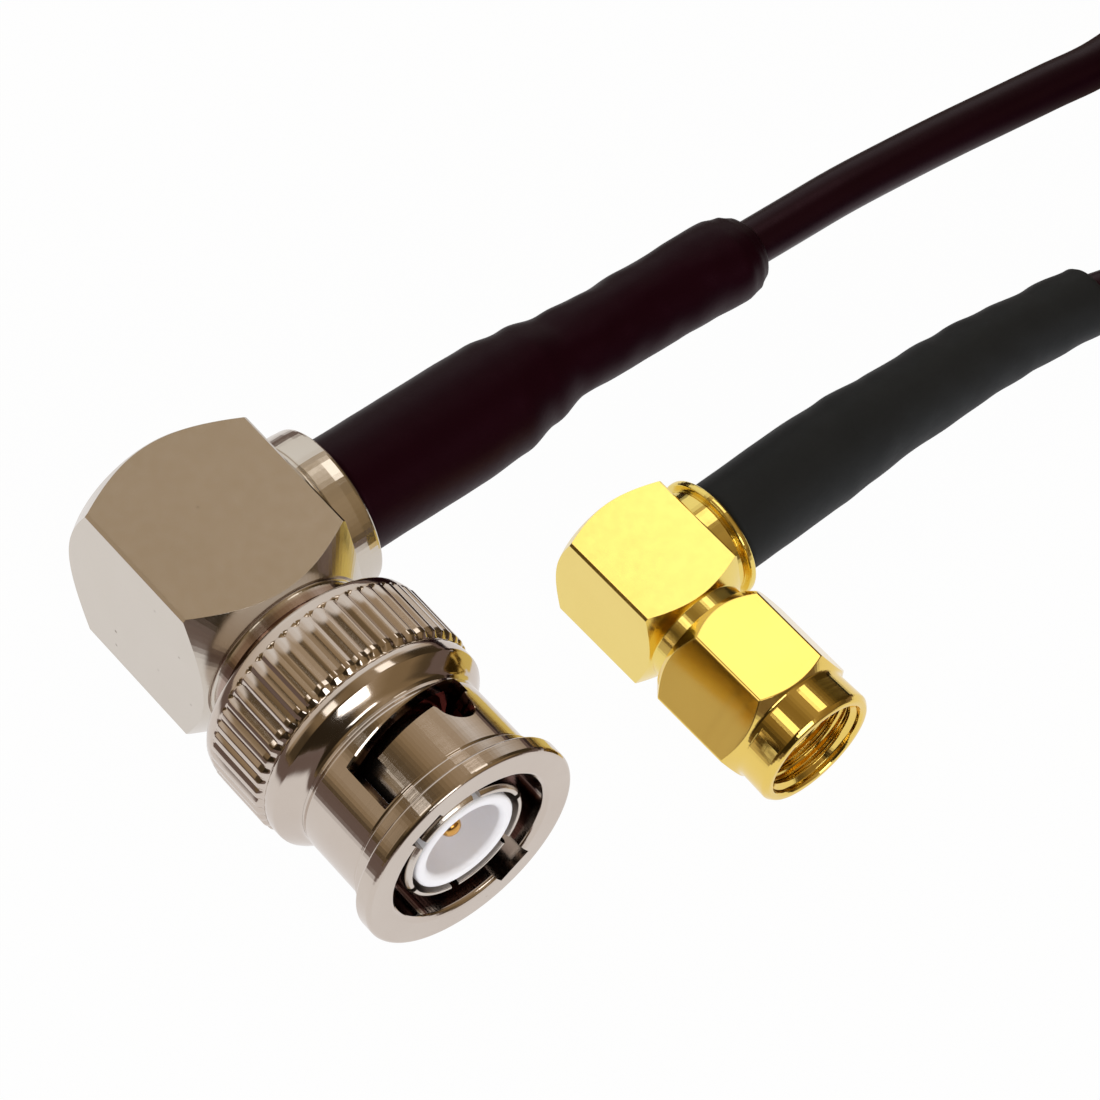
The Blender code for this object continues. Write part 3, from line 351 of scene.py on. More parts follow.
def metal(name, look):
    # plated metal: machining lines, a few pits and, where given, painted shade in a bore or neck
    mat, tree, bsdf, coord, tone = newFinish(name, look)
    bsdf.inputs["Metallic"].default_value = 1.0
    specks = useGroup(tree, pitsGroup, coord, Scale=look["pitScale"], Size=look["pitSize"])
    spot = addNode(tree, "ShaderNodeMix", data_type="RGBA")
    spot.inputs["B"].default_value = rgba(look["pitColour"])
    tree.links.new(specks.outputs["Mask"], spot.inputs["Factor"])
    tree.links.new(tone.outputs["Color"], spot.inputs["A"])
    last = spot.outputs["Result"]
    # painted shade: inside the given radius and past the given depth the colour darkens towards the shade
    # colour
    if "bore" in look:
        radius, depth = look["bore"]
        shade = useGroup(tree, boreShadeGroup, coord, Radius=radius, Depth=depth,
                         **{"Depth Soft": look.get("boreSoft", 0.0003)})
        dim = addNode(tree, "ShaderNodeMix", data_type="RGBA")
        dim.inputs["B"].default_value = rgba(look["boreShadeColour"])
        tree.links.new(shade.outputs["Mask"], dim.inputs["Factor"])
        tree.links.new(last, dim.inputs["A"])
        last = dim.outputs["Result"]
    tree.links.new(last, bsdf.inputs["Base Color"])
    lines = useGroup(tree, linesGroup, coord, Stretch=look["stretch"], Scale=look["lineScale"])
    height = addNode(tree, "ShaderNodeMath", operation="SUBTRACT")
    tree.links.new(lines.outputs["Height"], height.inputs[0])
    tree.links.new(specks.outputs["Mask"], height.inputs[1])
    roughAndBump(tree, bsdf, look, lines.outputs["Height"], height.outputs[0])
    return mat


def plain(name, look):
    # plastics and rubbers: a fine grain
    mat, tree, bsdf, coord, tone = newFinish(name, look)
    bsdf.inputs["Specular IOR Level"].default_value = look.get("specular", 0.5)
    bsdf.inputs["Specular Tint"].default_value = rgba(look.get("tint", (1, 1, 1)))
    if "subsurface" in look:
        bsdf.inputs["Subsurface Weight"].default_value = look["subsurface"]
        bsdf.inputs["Subsurface Radius"].default_value = (0.001, 0.001, 0.001)
        bsdf.inputs["Subsurface Scale"].default_value = 1.0
    tree.links.new(tone.outputs["Color"], bsdf.inputs["Base Color"])
    stretch = look.get("stretch", (1, 1, 1))
    grain = useGroup(tree, linesGroup, coord, Stretch=stretch, Scale=look["grainScale"])
    roughAndBump(tree, bsdf, look, grain.outputs["Height"], grain.outputs["Height"])
    return mat


# painted shade: the neck ahead of the block is darkened, as shade in the corner between block and ring
nickelBlock = metal("nickelBlock", {
    "bore": (0.0056, -0.0064), "boreSoft": -0.0003, "boreShadeColour": (0.42, 0.32, 0.27),
    "light": (0.66, 0.61, 0.55), "dark": (0.62, 0.57, 0.50), "toneScale": 260,
    "pitColour": (0.20, 0.15, 0.11), "pitScale": 560, "pitSize": 0.09, "stretch": (1, 1, 1),
    "lineScale": 1600, "rough": 0.16, "roughSpread": 0.04, "bump": 0.12, "depth": 0.00002})
# painted shade: deep in the coupling's bore the colour goes nearly black
nickelTurned = metal("nickelTurned", {
    "bore": (0.0058, -0.0219), "boreShadeColour": (0.12, 0.06, 0.05), "light": (0.66, 0.60, 0.54),
    "dark": (0.58, 0.50, 0.44), "toneScale": 180, "pitColour": (0.4, 0.3, 0.25), "pitScale": 700,
    "pitSize": 0.05, "stretch": (0.12, 6, 0.12), "lineScale": 900, "rough": 0.10, "roughSpread": 0.03,
    "bump": 0.07, "depth": 0.00002})
nickelInner = metal("nickelInner", {
    "light": (0.70, 0.65, 0.60), "dark": (0.60, 0.54, 0.48), "toneScale": 180,
    "pitColour": (0.4, 0.3, 0.25), "pitScale": 900, "pitSize": 0.04, "stretch": (0.2, 5, 0.2),
    "lineScale": 900, "rough": 0.2, "roughSpread": 0.05, "bump": 0.1, "depth": 0.00002})
goldBlock = metal("goldBlock", {
    "light": (0.92, 0.73, 0.21), "dark": (0.88, 0.68, 0.18), "toneScale": 300,
    "pitColour": (0.5, 0.3, 0.1), "pitScale": 700, "pitSize": 0.05, "stretch": (1, 1, 1),
    "lineScale": 1500, "rough": 0.17, "roughSpread": 0.04, "bump": 0.10, "depth": 0.00002})
goldTurned = metal("goldTurned", {
    "light": (0.90, 0.67, 0.18), "dark": (0.84, 0.60, 0.14), "toneScale": 220,
    "pitColour": (0.4, 0.24, 0.08), "pitScale": 900, "pitSize": 0.04, "stretch": (0.2, 5, 0.2),
    "lineScale": 1000, "rough": 0.10, "roughSpread": 0.03, "bump": 0.07, "depth": 0.00002})
goldContact = metal("goldContact", {
    "light": (0.78, 0.44, 0.12), "dark": (0.66, 0.34, 0.08), "toneScale": 500,
    "pitColour": (0.5, 0.3, 0.1), "pitScale": 900, "pitSize": 0.03, "stretch": (1, 4, 1),
    "lineScale": 1200, "rough": 0.22, "roughSpread": 0.04, "bump": 0.1, "depth": 0.00001})
springMetal = metal("springMetal", {
    "light": (0.52, 0.50, 0.47), "dark": (0.42, 0.40, 0.37), "toneScale": 400,
    "pitColour": (0.3, 0.26, 0.2), "pitScale": 900, "pitSize": 0.04, "stretch": (1, 1, 1),
    "lineScale": 1200, "rough": 0.34, "roughSpread": 0.06, "bump": 0.2, "depth": 0.00002})
tinnedBraid = metal("tinnedBraid", {
    "light": (0.66, 0.64, 0.61), "dark": (0.36, 0.34, 0.32), "toneScale": 1500,
    "pitColour": (0.3, 0.28, 0.25), "pitScale": 1600, "pitSize": 0.2, "stretch": (3, 1, 1),
    "lineScale": 2200, "rough": 0.4, "roughSpread": 0.08, "bump": 0.6, "depth": 0.0001})
copperWire = metal("copperWire", {
    "light": (0.80, 0.42, 0.26), "dark": (0.66, 0.30, 0.17), "toneScale": 900,
    "pitColour": (0.4, 0.18, 0.1), "pitScale": 1600, "pitSize": 0.05, "stretch": (0.2, 3, 3),
    "lineScale": 1500, "rough": 0.3, "roughSpread": 0.05, "bump": 0.2, "depth": 0.00002})
ptfeWhite = plain("ptfeWhite", {
    "light": (0.92, 0.93, 0.98), "dark": (0.87, 0.88, 0.94), "toneScale": 400, "grainScale": 1500,
    "rough": 0.36, "roughSpread": 0.05, "bump": 0.06, "depth": 0.00003, "subsurface": 0.15,
    "stretch": (0.3, 3, 0.3)})
siliconeRed = plain("siliconeRed", {
    "light": (0.42, 0.08, 0.06), "dark": (0.32, 0.05, 0.04), "toneScale": 300, "grainScale": 1500,
    "rough": 0.55, "roughSpread": 0.06, "bump": 0.1, "depth": 0.00003})
sleeveBlack = plain("sleeveBlack", {
    "light": (0.010, 0.0008, 0.0035), "dark": (0.006, 0.0005, 0.002), "toneScale": 220,
    "grainScale": 1400, "rough": 0.46, "roughSpread": 0.06, "bump": 0.22, "depth": 0.00006,
    "specular": 0.13, "tint": (1, 0.4, 0.6)})
sleeveGrey = plain("sleeveGrey", {
    "light": (0.018, 0.019, 0.020), "dark": (0.012, 0.013, 0.014), "toneScale": 220, "grainScale": 1700,
    "rough": 0.6, "roughSpread": 0.06, "bump": 0.3, "depth": 0.00006, "specular": 0.22,
    "tint": (0.8, 0.9, 1)})
jacketBlack = plain("jacketBlack", {
    "light": (0.009, 0.001, 0.004), "dark": (0.005, 0.0006, 0.002), "toneScale": 260, "grainScale": 1500,
    "rough": 0.36, "roughSpread": 0.05, "bump": 0.2, "depth": 0.00005, "specular": 0.2,
    "tint": (1, 0.5, 0.65)})
tieBlack = plain("tieBlack", {
    "light": (0.03, 0.03, 0.032), "dark": (0.018, 0.018, 0.02), "toneScale": 300, "grainScale": 1600,
    "rough": 0.5, "roughSpread": 0.06, "bump": 0.2, "depth": 0.00005})
finishes = {
    "nickel_block": nickelBlock, "nickel_coupling": nickelTurned, "nickel_contact": nickelInner,
    "gold_body": goldBlock, "gold_nut": goldTurned, "gold_contact": goldContact,
    "spring_steel": springMetal, "copper": copperWire, "braid": tinnedBraid, "ptfe": ptfeWhite,
    "silicone": siliconeRed, "sleeve_black": sleeveBlack, "sleeve_grey": sleeveGrey,
    "jacket": jacketBlack, "tie": tieBlack}
for part in frame["record"]["subparts"]:
    mesh = nodes[part["node"]].data
    mesh.materials.clear()
    mesh.materials.append(finishes[part["material_slot"]])
cable.data.materials.append(jacketBlack)
print("materials made")


# mesh helpers
def polar(axis, along, radius, angle):
    # forward runs toward -Y, cable toward +X
    a, b = radius * math.cos(angle), radius * math.sin(angle)
    return {"forward": (a, -along, b), "cable": (along, a, b)}[axis]


def rounded(points):
    # (along, radius, fillet) corners to a smooth profile
    out = []
    n = len(points)
    for i, p in enumerate(points):
        fillet = p[2] if len(p) > 2 else 0.0
        if fillet == 0 or p[1] == 0:
            out.append((p[0], p[1]))
            continue
        here = Vector((p[0], p[1]))
        before = Vector(points[i - 1][:2]) - here
        after = Vector(points[(i + 1) % n][:2]) - here
        reach = min(fillet, before.length * 0.49, after.length * 0.49)
        a, b = here + before.normalized() * reach, here + after.normalized() * reach
        for k in range(5):
            t = k / 4
            out.append(tuple(a * (1 - t) ** 2 + here * 2 * t * (1 - t) + b * t**2))
    return out


def turned(profile, axis="forward", segments=96, closed=True, wave=None):
    # revolve; wave(row, angle) may add to the radius
    bm = bmesh.new()
    rings = []
    for row, (along, radius) in enumerate(profile):
        if radius == 0:
            rings.append([bm.verts.new(polar(axis, along, 0, 0))])
            continue
        ring = []
        for i in range(segments):
            angle = 2 * math.pi * i / segments
            r = radius + (wave(row, angle) if wave else 0)
            ring.append(bm.verts.new(polar(axis, along, r, angle)))
        rings.append(ring)
    pairs = list(zip(rings, rings[1:]))
    if closed:
        pairs.append((rings[-1], rings[0]))
    for one, two in pairs:
        if len(one) == 1 or len(two) == 1:
            tip, ring = (one[0], two) if len(one) == 1 else (two[0], one)
            for i in range(segments):
                bm.faces.new((ring[i], ring[(i + 1) % segments], tip))
        else:
            for i in range(segments):
                j = (i + 1) % segments
                bm.faces.new((one[i], one[j], two[j], two[i]))
    bmesh.ops.recalc_face_normals(bm, faces=bm.faces)
    return bm


def bar(back, front, sides, flats, turn=0.0, cut=0.0):
    # bar along the mating axis with chamfered long edges
    bm = bmesh.new()
    corner = flats / 2 / math.cos(math.pi / sides)
    rings = []
    for along in (back, front):
        ring = []
        for i in range(sides):
            for side in (-1, 1):
                angle = turn + 2 * math.pi * i / sides
                shift = side * math.atan2(cut, corner)
                ring.append(bm.verts.new(polar("forward", along, corner - cut * 0.6, angle + shift)))
        rings.append(ring)
    n = len(rings[0])
    for i in range(n):
        j = (i + 1) % n
        bm.faces.new((rings[0][i], rings[0][j], rings[1][j], rings[1][i]))
    bm.faces.new(rings[0])
    bm.faces.new(rings[1])
    bmesh.ops.recalc_face_normals(bm, faces=bm.faces)
    return bm


def box(x, y, z, turn=0.0):
    # box between pairs of limits, turned about the mating axis
    bm = bmesh.new()
    verts = [bm.verts.new((i, j, k)) for i in x for j in y for k in z]
    for quad in ((0, 1, 3, 2), (4, 6, 7, 5), (0, 4, 5, 1), (2, 3, 7, 6), (0, 2, 6, 4), (1, 5, 7, 3)):
        bm.faces.new([verts[i] for i in quad])
    bmesh.ops.recalc_face_normals(bm, faces=bm.faces)
    bmesh.ops.rotate(bm, verts=bm.verts, cent=(0, 0, 0), matrix=Matrix.Rotation(-turn, 3, "Y"))
    return bm


def tempObject(bm):
    mesh = bpy.data.meshes.new("temp")
    bm.to_mesh(mesh)
    bm.free()
    obj = bpy.data.objects.new("temp", mesh)
    scene.collection.objects.link(obj)
    return obj


def cutMesh(bm, steps, edge=0.0, edgeAngle=30, segments=2):
    # booleans one after another, then worn edges
    obj = tempObject(bm)
    spent = [obj]
    for operation, cutter in steps:
        other = tempObject(cutter)
        spent.append(other)
        mod = obj.modifiers.new("cut", "BOOLEAN")
        mod.operation = operation
        mod.solver = "EXACT"
        mod.object = other
    if edge:
        mod = obj.modifiers.new("edges", "BEVEL")
        mod.width = edge
        mod.segments = segments
        mod.limit_method = "ANGLE"
        mod.angle_limit = math.radians(edgeAngle)
        mod.harden_normals = True
    deps = bpy.context.evaluated_depsgraph_get()
    done = obj.evaluated_get(deps)
    mesh = bpy.data.meshes.new_from_object(done, preserve_all_data_layers=True, depsgraph=deps)
    for old in spent:
        bpy.data.objects.remove(old, do_unlink=True)
    return mesh


def piece(name, shape, facts):
    # a finished piece from a bmesh or a mesh
    if isinstance(shape, bmesh.types.BMesh):
        mesh = bpy.data.meshes.new(name)
        bmesh.ops.recalc_face_normals(shape, faces=shape.faces)
        shape.to_mesh(mesh)
        shape.free()
        mesh.shade_smooth()
        mesh.set_sharp_from_angle(angle=math.radians(facts.get("sharp", 35)))
    else:
        mesh = shape
        mesh.name = name
        if "sharp" in facts:
            mesh.shade_smooth()
            mesh.set_sharp_from_angle(angle=math.radians(facts["sharp"]))
    mesh.materials.clear()
    mesh.materials.append(facts["mat"])
    obj = bpy.data.objects.new(name, mesh)
    obj.matrix_world = facts["place"]
    scene.collection.objects.link(obj)
    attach(obj, facts.get("body", "assembly"))
    if "replaces" in facts:
        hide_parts(*facts["replaces"])
    return obj


mm = 0.001


def scaled(points):
    return [tuple(v * mm for v in p) for p in points]


# BNC block: square bar with both ends turned to a cone, neck in front, collar toward the cable
block = {"side": 10.9, "edge": 0.12, "cone": 4.35, "face": 6.25, "faceR": 5.3, "neckR": 5.0, "neckEnd": 7.9}
slope = (block["side"] / math.sqrt(2) - block["faceR"]) / (block["face"] - block["cone"])
cornerR = block["side"] / math.sqrt(2) + 0.4
cornerAt = block["face"] - (cornerR - block["faceR"]) / slope
blockProfile = scaled(rounded([
    (-block["face"], block["faceR"]), (-cornerAt, cornerR), (cornerAt, cornerR),
    (block["face"], block["faceR"]), (block["face"], block["neckR"] + 0.12, 0.1),
    (block["face"] + 0.12, block["neckR"], 0.1), (7.05, 5.0), (7.15, 4.86), (7.3, 4.86), (7.4, 5.0),
    (block["neckEnd"], block["neckR"], 0.15), (block["neckEnd"], 3.75), (3.9, 3.75), (3.9, 2.4),
    (-4.95, 2.4), (-4.95, 4.35), (-block["face"], 4.35)]))
collarProfile = scaled(rounded([
    (5.3, 0), (5.3, 4.93), (5.62, 4.93, 0.04), (5.72, 4.86, 0.04), (5.86, 4.86, 0.04), (5.96, 4.93, 0.04),
    (7.0, 4.93, 0.05), (7.83, 4.86, 0.25), (7.83, 1.45), (13.5, 1.45), (13.5, 0)]))
boreProfile = scaled([(0, 0), (0, 0.95), (20, 0.95), (20, 0)])
shape = cutMesh(turned(blockProfile, segments=128), [
    ("INTERSECT", bar(-0.02, 0.02, 4, block["side"] * mm, math.pi / 4, block["edge"] * mm)),
    ("UNION", turned(collarProfile, "cable", 96, False)),
    ("DIFFERENCE", turned(boreProfile, "cable", 48, False)),
], edge=0.00007, edgeAngle=28)
piece("bncBlock", shape, {
    "mat": nickelBlock, "slot": "nickel_block", "place": bncFrame, "replaces": ["bnc_body"]})
capProfile = scaled(rounded([(-6.25, 0), (-6.25, 4.2, 0.12), (-5.25, 4.2), (-5.25, 0)]))
piece("bncRearCap", turned(capProfile, closed=False), {
    "mat": nickelBlock, "slot": "nickel_block", "place": bncFrame, "replaces": ["bnc_rear_cap"]})
print("BNC block made")

# BNC coupling: straight knurl of flat teeth between V grooves, then a shoulder falling to the sleeve
knurl = {"teeth": 51, "depth": 0.00015, "first": 70, "columns": 12, "halfGroove": 0.34}
ringRows = [  # along, radius, share of the grooves' depth
    (8.2, 6.8, 0), (8.26, 6.93, 0), (8.4, 7.03, 0), (8.6, 7.1, 0), (8.85, 7.16, 0), (8.98, 7.18, 0),
    (9.04, 7.18, 0.3), (9.12, 7.2, 0.8), (9.2, 7.24, 1), (10.3, 7.25, 1), (11.5, 7.25, 1),
    (12.6, 7.25, 1), (12.9, 7.25, 1), (12.98, 7.23, 1), (13.05, 7.18, 1), (13.2, 7.03, 0.7),
    (13.27, 6.96, 0.2), (13.3, 6.93, 0), (13.36, 6.93, 0), (13.42, 6.99, 0), (13.5, 7.04, 0),
    (13.8, 7.05, 0), (14.2, 7.04, 0), (14.3, 7.02, 0), (14.38, 6.96, 0), (14.6, 6.74, 0),
    (14.85, 6.47, 0), (15.0, 6.29, 0), (15.1, 6.16, 0), (15.2, 6.06, 0), (15.3, 6.0, 0), (15.42, 5.97, 0),
    (15.42, 5.04, 0), (9.9, 5.04, 0), (9.9, 4.05, 0), (8.2, 4.05, 0)]


def toothWave(row, angle):
    pitch = 2 * math.pi / knurl["teeth"]
    fromGroove = (angle - math.radians(knurl["first"])) / pitch % 1 - 0.5
    return -ringRows[row][2] * knurl["depth"] * max(0, 1 - abs(fromGroove) / knurl["halfGroove"])


ringProfile = [(a * mm, r * mm) for a, r, share in ringRows]
ringMesh = turned(ringProfile, segments=knurl["teeth"] * knurl["columns"], wave=toothWave)
piece("bncKnurledRing", ringMesh, {
    "mat": nickelTurned, "slot": "nickel_coupling", "place": bncFrame, "body": "bnc_bayonet",
    "replaces": ["bnc_coupling"], "sharp": 40})

# bayonet sleeve in front of the ring, with its cam slots cut through
cam = {
    "entry": 123.5, "entryWidth": 1.6, "entryAt": 17.15, "entryFront": 19.9, "end": 45, "endAt": 16.01,
    "width": 1.1, "pocket": 62, "pocketR": 1.3, "pocketAt": 17.1, "inner": 4.5, "skin": 6.07, "outer": 6.6,
    "rearCut": 0.1, "frontCut": 0.06, "keyWidth": 2.2, "keyR": 5.7, "keyBack": 19.6, "keyFront": 22.7}
bayonetProfile = scaled(rounded([
    (15.43, 5.5), (15.43, 5.97), (15.6, 5.98, 0.05), (15.85, 6.05, 0.05), (20.05, 6.07, 0.03),
    (20.12, 6.02, 0.03), (20.22, 6.02, 0.03), (20.3, 6.25, 0.06), (21.1, 6.25, 0.08), (21.2, 6.85, 0.05),
    (21.3, 6.93, 0.08), (22.2, 6.93, 0.12), (22.37, 6.78, 0.1), (22.37, 5.3, 0.1), (22.17, 5.04, 0.1),
    (15.43, 5.04)]))


def slotLimits(degrees):
    # back and front of a slot at an angle, with the round pocket near its end
    part = (cam["entry"] - degrees) / (cam["entry"] - cam["end"])
    middle = cam["entryAt"] + (cam["endAt"] - cam["entryAt"]) * part
    front = middle + cam["width"] / 2
    across = math.radians(degrees - cam["pocket"]) * cam["skin"]
    if abs(across) < cam["pocketR"]:
        front = max(front, cam["pocketAt"] + math.sqrt(cam["pocketR"] ** 2 - across**2))
    return middle - cam["width"] / 2, front


def slotShape(turn):
    entryHalf = math.degrees(cam["entryWidth"] / 2 / cam["skin"])
    pocketHalf = math.degrees(cam["pocketR"] / cam["skin"])
    low, high = cam["entry"] - entryHalf, cam["entry"] + entryHalf
    stops = [cam["end"] + (low - cam["end"]) * i / 40 for i in range(41)]
    stops += [cam["pocket"] + pocketHalf * math.sin(math.radians(a)) * 0.999 for a in range(-90, 91, 10)]
    sections = [(a, *slotLimits(a)) for a in sorted(stops)]
    sections += [(a, slotLimits(a)[0], cam["entryFront"]) for a in (low + 0.05, cam["entry"], high)]
    bm = bmesh.new()
    rings = []
    for degrees, back, front in sections:
        skin, outer, c, e = cam["skin"], cam["outer"], cam["rearCut"], cam["frontCut"]
        outline = [
            (back, cam["inner"]), (back, skin - c), (back - c * 1.2, skin + c * 0.2),
            (back - c * 1.2, outer), (front + e * 1.2, outer), (front + e * 1.2, skin + e * 0.2),
            (front, skin - e), (front, cam["inner"])]
        angle = math.radians(turn + degrees)
        rings.append([bm.verts.new(polar("forward", a * mm, r * mm, angle)) for a, r in outline])
    for one, two in zip(rings, rings[1:]):
        for k in range(8):
            m = (k + 1) % 8
            bm.faces.new((one[k], one[m], two[m], two[k]))
    bm.faces.new(rings[0])
    bm.faces.new(rings[-1])
    bmesh.ops.recalc_face_normals(bm, faces=bm.faces)
    return bm


def keywayShape(turn):
    half = cam["keyWidth"] / 2 * mm
    ahead = (-cam["keyFront"] * mm, -cam["keyBack"] * mm)
    outward = (cam["inner"] * mm, cam["keyR"] * mm)
    return box((-half, half), ahead, outward, math.radians(turn + cam["entry"] - 90))


cuts = []
for turn in (0, 180):
    cuts += [("DIFFERENCE", slotShape(turn)), ("DIFFERENCE", keywayShape(turn))]
shape = cutMesh(turned(bayonetProfile, segments=160), cuts, edge=0.00004, edgeAngle=34)
piece("bncBayonetSleeve", shape, {
    "mat": nickelTurned, "slot": "nickel_coupling", "place": bncFrame, "body": "bnc_bayonet"})
print("BNC coupling made")

# BNC shell with the slotted outer contact, insulator cup and pin
shellProfile = scaled(rounded([
    (4.2, 3.45), (8.2, 3.45), (8.2, 3.75), (12.1, 3.75), (12.1, 4.74), (12.8, 4.74), (12.8, 3.9),
    (20.4, 3.9, 0.3), (21.2, 4.0, 0.3), (21.7, 4.0, 0.1), (21.94, 3.8, 0.08), (21.94, 3.6, 0.06),
    (16.0, 3.6), (16.0, 2.8), (4.2, 2.8)]))
# each cut goes right across the contact, so it makes two of its slots
slots = {"cuts": 3, "first": 20, "halfWidth": 0.25, "back": 16.8, "front": 22.3, "reach": 4.3}
half, reach = slots["halfWidth"] * mm, slots["reach"] * mm
ahead = (-slots["front"] * mm, -slots["back"] * mm)
cuts = []
for i in range(slots["cuts"]):
    degrees = slots["first"] + 180 * i / slots["cuts"]
    cuts.append(("DIFFERENCE", box((-half, half), ahead, (-reach, reach), math.radians(degrees - 90))))
shape = cutMesh(turned(shellProfile, segments=120), cuts, edge=0.00003, edgeAngle=40)
piece("bncShell", shape, {
    "mat": nickelInner, "slot": "nickel_contact", "place": bncFrame, "replaces": ["bnc_shell"]})
cupProfile = scaled(rounded([
    (4.2, 2.5), (16.3, 2.5), (16.3, 3.3), (21.78, 3.3, 0.1), (21.9, 3.15, 0.1), (21.9, 2.75, 0.12),
    (21.7, 2.47, 0.25), (17.3, 2.42, 0.2), (17.3, 1.15, 0.1), (17.25, 0.95), (4.2, 0.95)]))
piece("bncInsulator", turned(cupProfile, segments=80), {
    "mat": ptfeWhite, "slot": "ptfe", "place": bncFrame, "replaces": ["bnc_insulator"]})
pinProfile = scaled(rounded([
    (-0.9, 0), (-0.9, 0.9), (17.1, 0.9, 0.1), (17.3, 0.68, 0.1), (20.5, 0.68, 0.3), (20.95, 0.5, 0.25),
    (21.1, 0.15, 0.1), (21.1, 0)]))
piece("bncPin", turned(pinProfile, segments=40, closed=False), {
    "mat": goldContact, "slot": "gold_contact", "place": bncFrame, "replaces": ["bnc_center_pin"]})
print("BNC contact made")


# shrunk sleeves: outer and inner skins on rings along the cable's way, with slack and wrinkles from noise
def shrunkSleeve(stations, segments, lumps):
    # stations of (x, y, z, outer, inner); lumps(x, angle) in metres
    bm = bmesh.new()
    xs = [s[0] for s in stations]
    count = round((xs[-1] - xs[0]) / 0.00022)

    def sample(x):
        for a, b in zip(stations, stations[1:]):
            if x <= b[0] + 1e-9:
                t = ease((x - a[0]) / (b[0] - a[0]))
                return [p + (q - p) * t for p, q in zip(a, b)]
        return stations[-1]

    outer, inner = [], []
    lip = 0.00022
    for i in range(count + 1):
        x = xs[0] + (xs[-1] - xs[0]) * i / count
        _, y, z, big, small = sample(x)
        near = max(0.0, min(x - xs[0], xs[-1] - x))
        drop = 0.0
        if near < lip:
            drop = (big - small) * 0.45 * (1 - math.sqrt(1 - (1 - near / lip) ** 2))
        ringOut, ringIn = [], []
        for k in range(segments):
            angle = 2 * math.pi * k / segments
            extra = lumps(x, angle)
            for ring, r in ((ringOut, big - drop + extra), (ringIn, small + drop * 0.6 + extra * 0.7)):
                px, py, pz = polar("cable", x, r, angle)
                ring.append(bm.verts.new((px, py + y, pz + z)))
        outer.append(ringOut)
        inner.append(ringIn)
    loop = outer + inner[::-1]
    for one, two in zip(loop, loop[1:] + loop[:1]):
        for k in range(segments):
            m = (k + 1) % segments
            bm.faces.new((one[k], one[m], two[m], two[k]))
    return bm


def bncLumps(x, angle):
    free = ease((x - 0.0185) / 0.004)
    n = noise.noise(Vector((x * 260, math.cos(angle) * 0.9, math.sin(angle) * 0.9)))
    m = noise.noise(Vector((x * 620, math.cos(angle) * 1.6 + 7, math.sin(angle) * 1.6)))
    mouth = ease((x - 0.0342) / 0.0022)
    flare = 0.00010 * mouth * math.cos(2 * angle + 0.6)
    return free * (0.00013 * n + 0.00005 * m) + flare + 0.00002 * m


bncSleeveStations = [
    (0.00813, 0, 0, 0.00355, 0.00295), (0.0165, 0, 0, 0.00355, 0.00295),
    (0.0195, 0, 0.00012, 0.00345, 0.00275), (0.0218, 0, 0.00036, 0.0030, 0.0023),
    (0.0242, 0, 0.0004, 0.00256, 0.0019), (0.029, 0, 0.00012, 0.00255, 0.0019),
    (0.0336, 0, -0.00012, 0.00252, 0.0019), (0.0361, 0, -0.00028, 0.00262, 0.0020),
    (0.0370, 0, -0.0003, 0.00242, 0.0019), (0.0376, 0, -0.0003, 0.00208, 0.00165),
    (0.0380, 0, -0.0003, 0.00182, 0.00152)]
piece("bncSleeve", shrunkSleeve(bncSleeveStations, 72, bncLumps), {
    "mat": sleeveBlack, "slot": "sleeve_black", "place": bncFrame, "replaces": ["bnc_heat_shrink"],
    "sharp": 80})


def smaLumps(x, angle):
    free = ease((x - 0.0095) / 0.004)
    n = noise.noise(Vector((x * 240 + 5, math.cos(angle) * 0.8, math.sin(angle) * 0.8)))
    m = noise.noise(Vector((x * 700, math.cos(angle) * 1.6 + 3, math.sin(angle) * 1.6)))
    return free * (0.00010 * n + 0.00004 * m) + 0.000015 * m


smaSleeveStations = [(0.00515, 0, 0, 0.00285, 0.00225), (smaFerrule, 0, 0, 0.00285, 0.00225)]
smaTaper = [
    (0.1, 0.0027, 0.0023), (0.25, 0.00252, 0.0021), (0.4, 0.00246, 0.0020), (0.55, 0.00236, 0.0019),
    (0.7, 0.00226, 0.0018), (0.85, 0.00216, 0.0018), (1.0, 0.0021, 0.00175)]
for part, radius, bore in smaTaper:
    drift = smaDriftAt(part)
    smaSleeveStations.append((smaFerrule + (smaSleeveEnd - smaFerrule) * part, drift, drift, radius, bore))
smaSleeve = piece("smaSleeve", shrunkSleeve(smaSleeveStations, 64, smaLumps), {
    "mat": sleeveGrey, "slot": "sleeve_grey", "place": smaFrame, "replaces": ["sma_heat_shrink"],
    "sharp": 80})
print("sleeves made")

# SMA block
smaBlock = {"side": 6.7, "edge": 0.1, "cone": 3.1, "face": 3.9, "faceR": 3.25}
slope = (smaBlock["side"] / math.sqrt(2) - smaBlock["faceR"]) / (smaBlock["face"] - smaBlock["cone"])
cornerR = smaBlock["side"] / math.sqrt(2) + 0.3
cornerAt = smaBlock["face"] - (cornerR - smaBlock["faceR"]) / slope
smaProfile = scaled(rounded([
    (-smaBlock["face"], smaBlock["faceR"]), (-cornerAt, cornerR), (cornerAt, cornerR),
    (smaBlock["face"], smaBlock["faceR"]), (3.95, 3.2, 0.02), (4.78, 3.2, 0.03), (4.82, 2.4), (2.1, 2.4),
    (2.1, 1.5), (-2.95, 1.5), (-2.95, 2.55), (-smaBlock["face"], 2.55)]))
smaCollar = scaled(rounded([
    (3.3, 0), (3.3, 3.3), (4.2, 3.3, 0.03), (4.26, 3.24, 0.03), (4.34, 3.24, 0.03), (4.38, 3.62, 0.06),
    (4.5, 3.68, 0.08), (4.75, 3.68, 0.1), (4.88, 3.5, 0.1), (4.88, 1.25), (9.5, 1.25), (9.5, 0)]))
smaBore = scaled([(0, 0), (0, 0.9), (20, 0.9), (20, 0)])
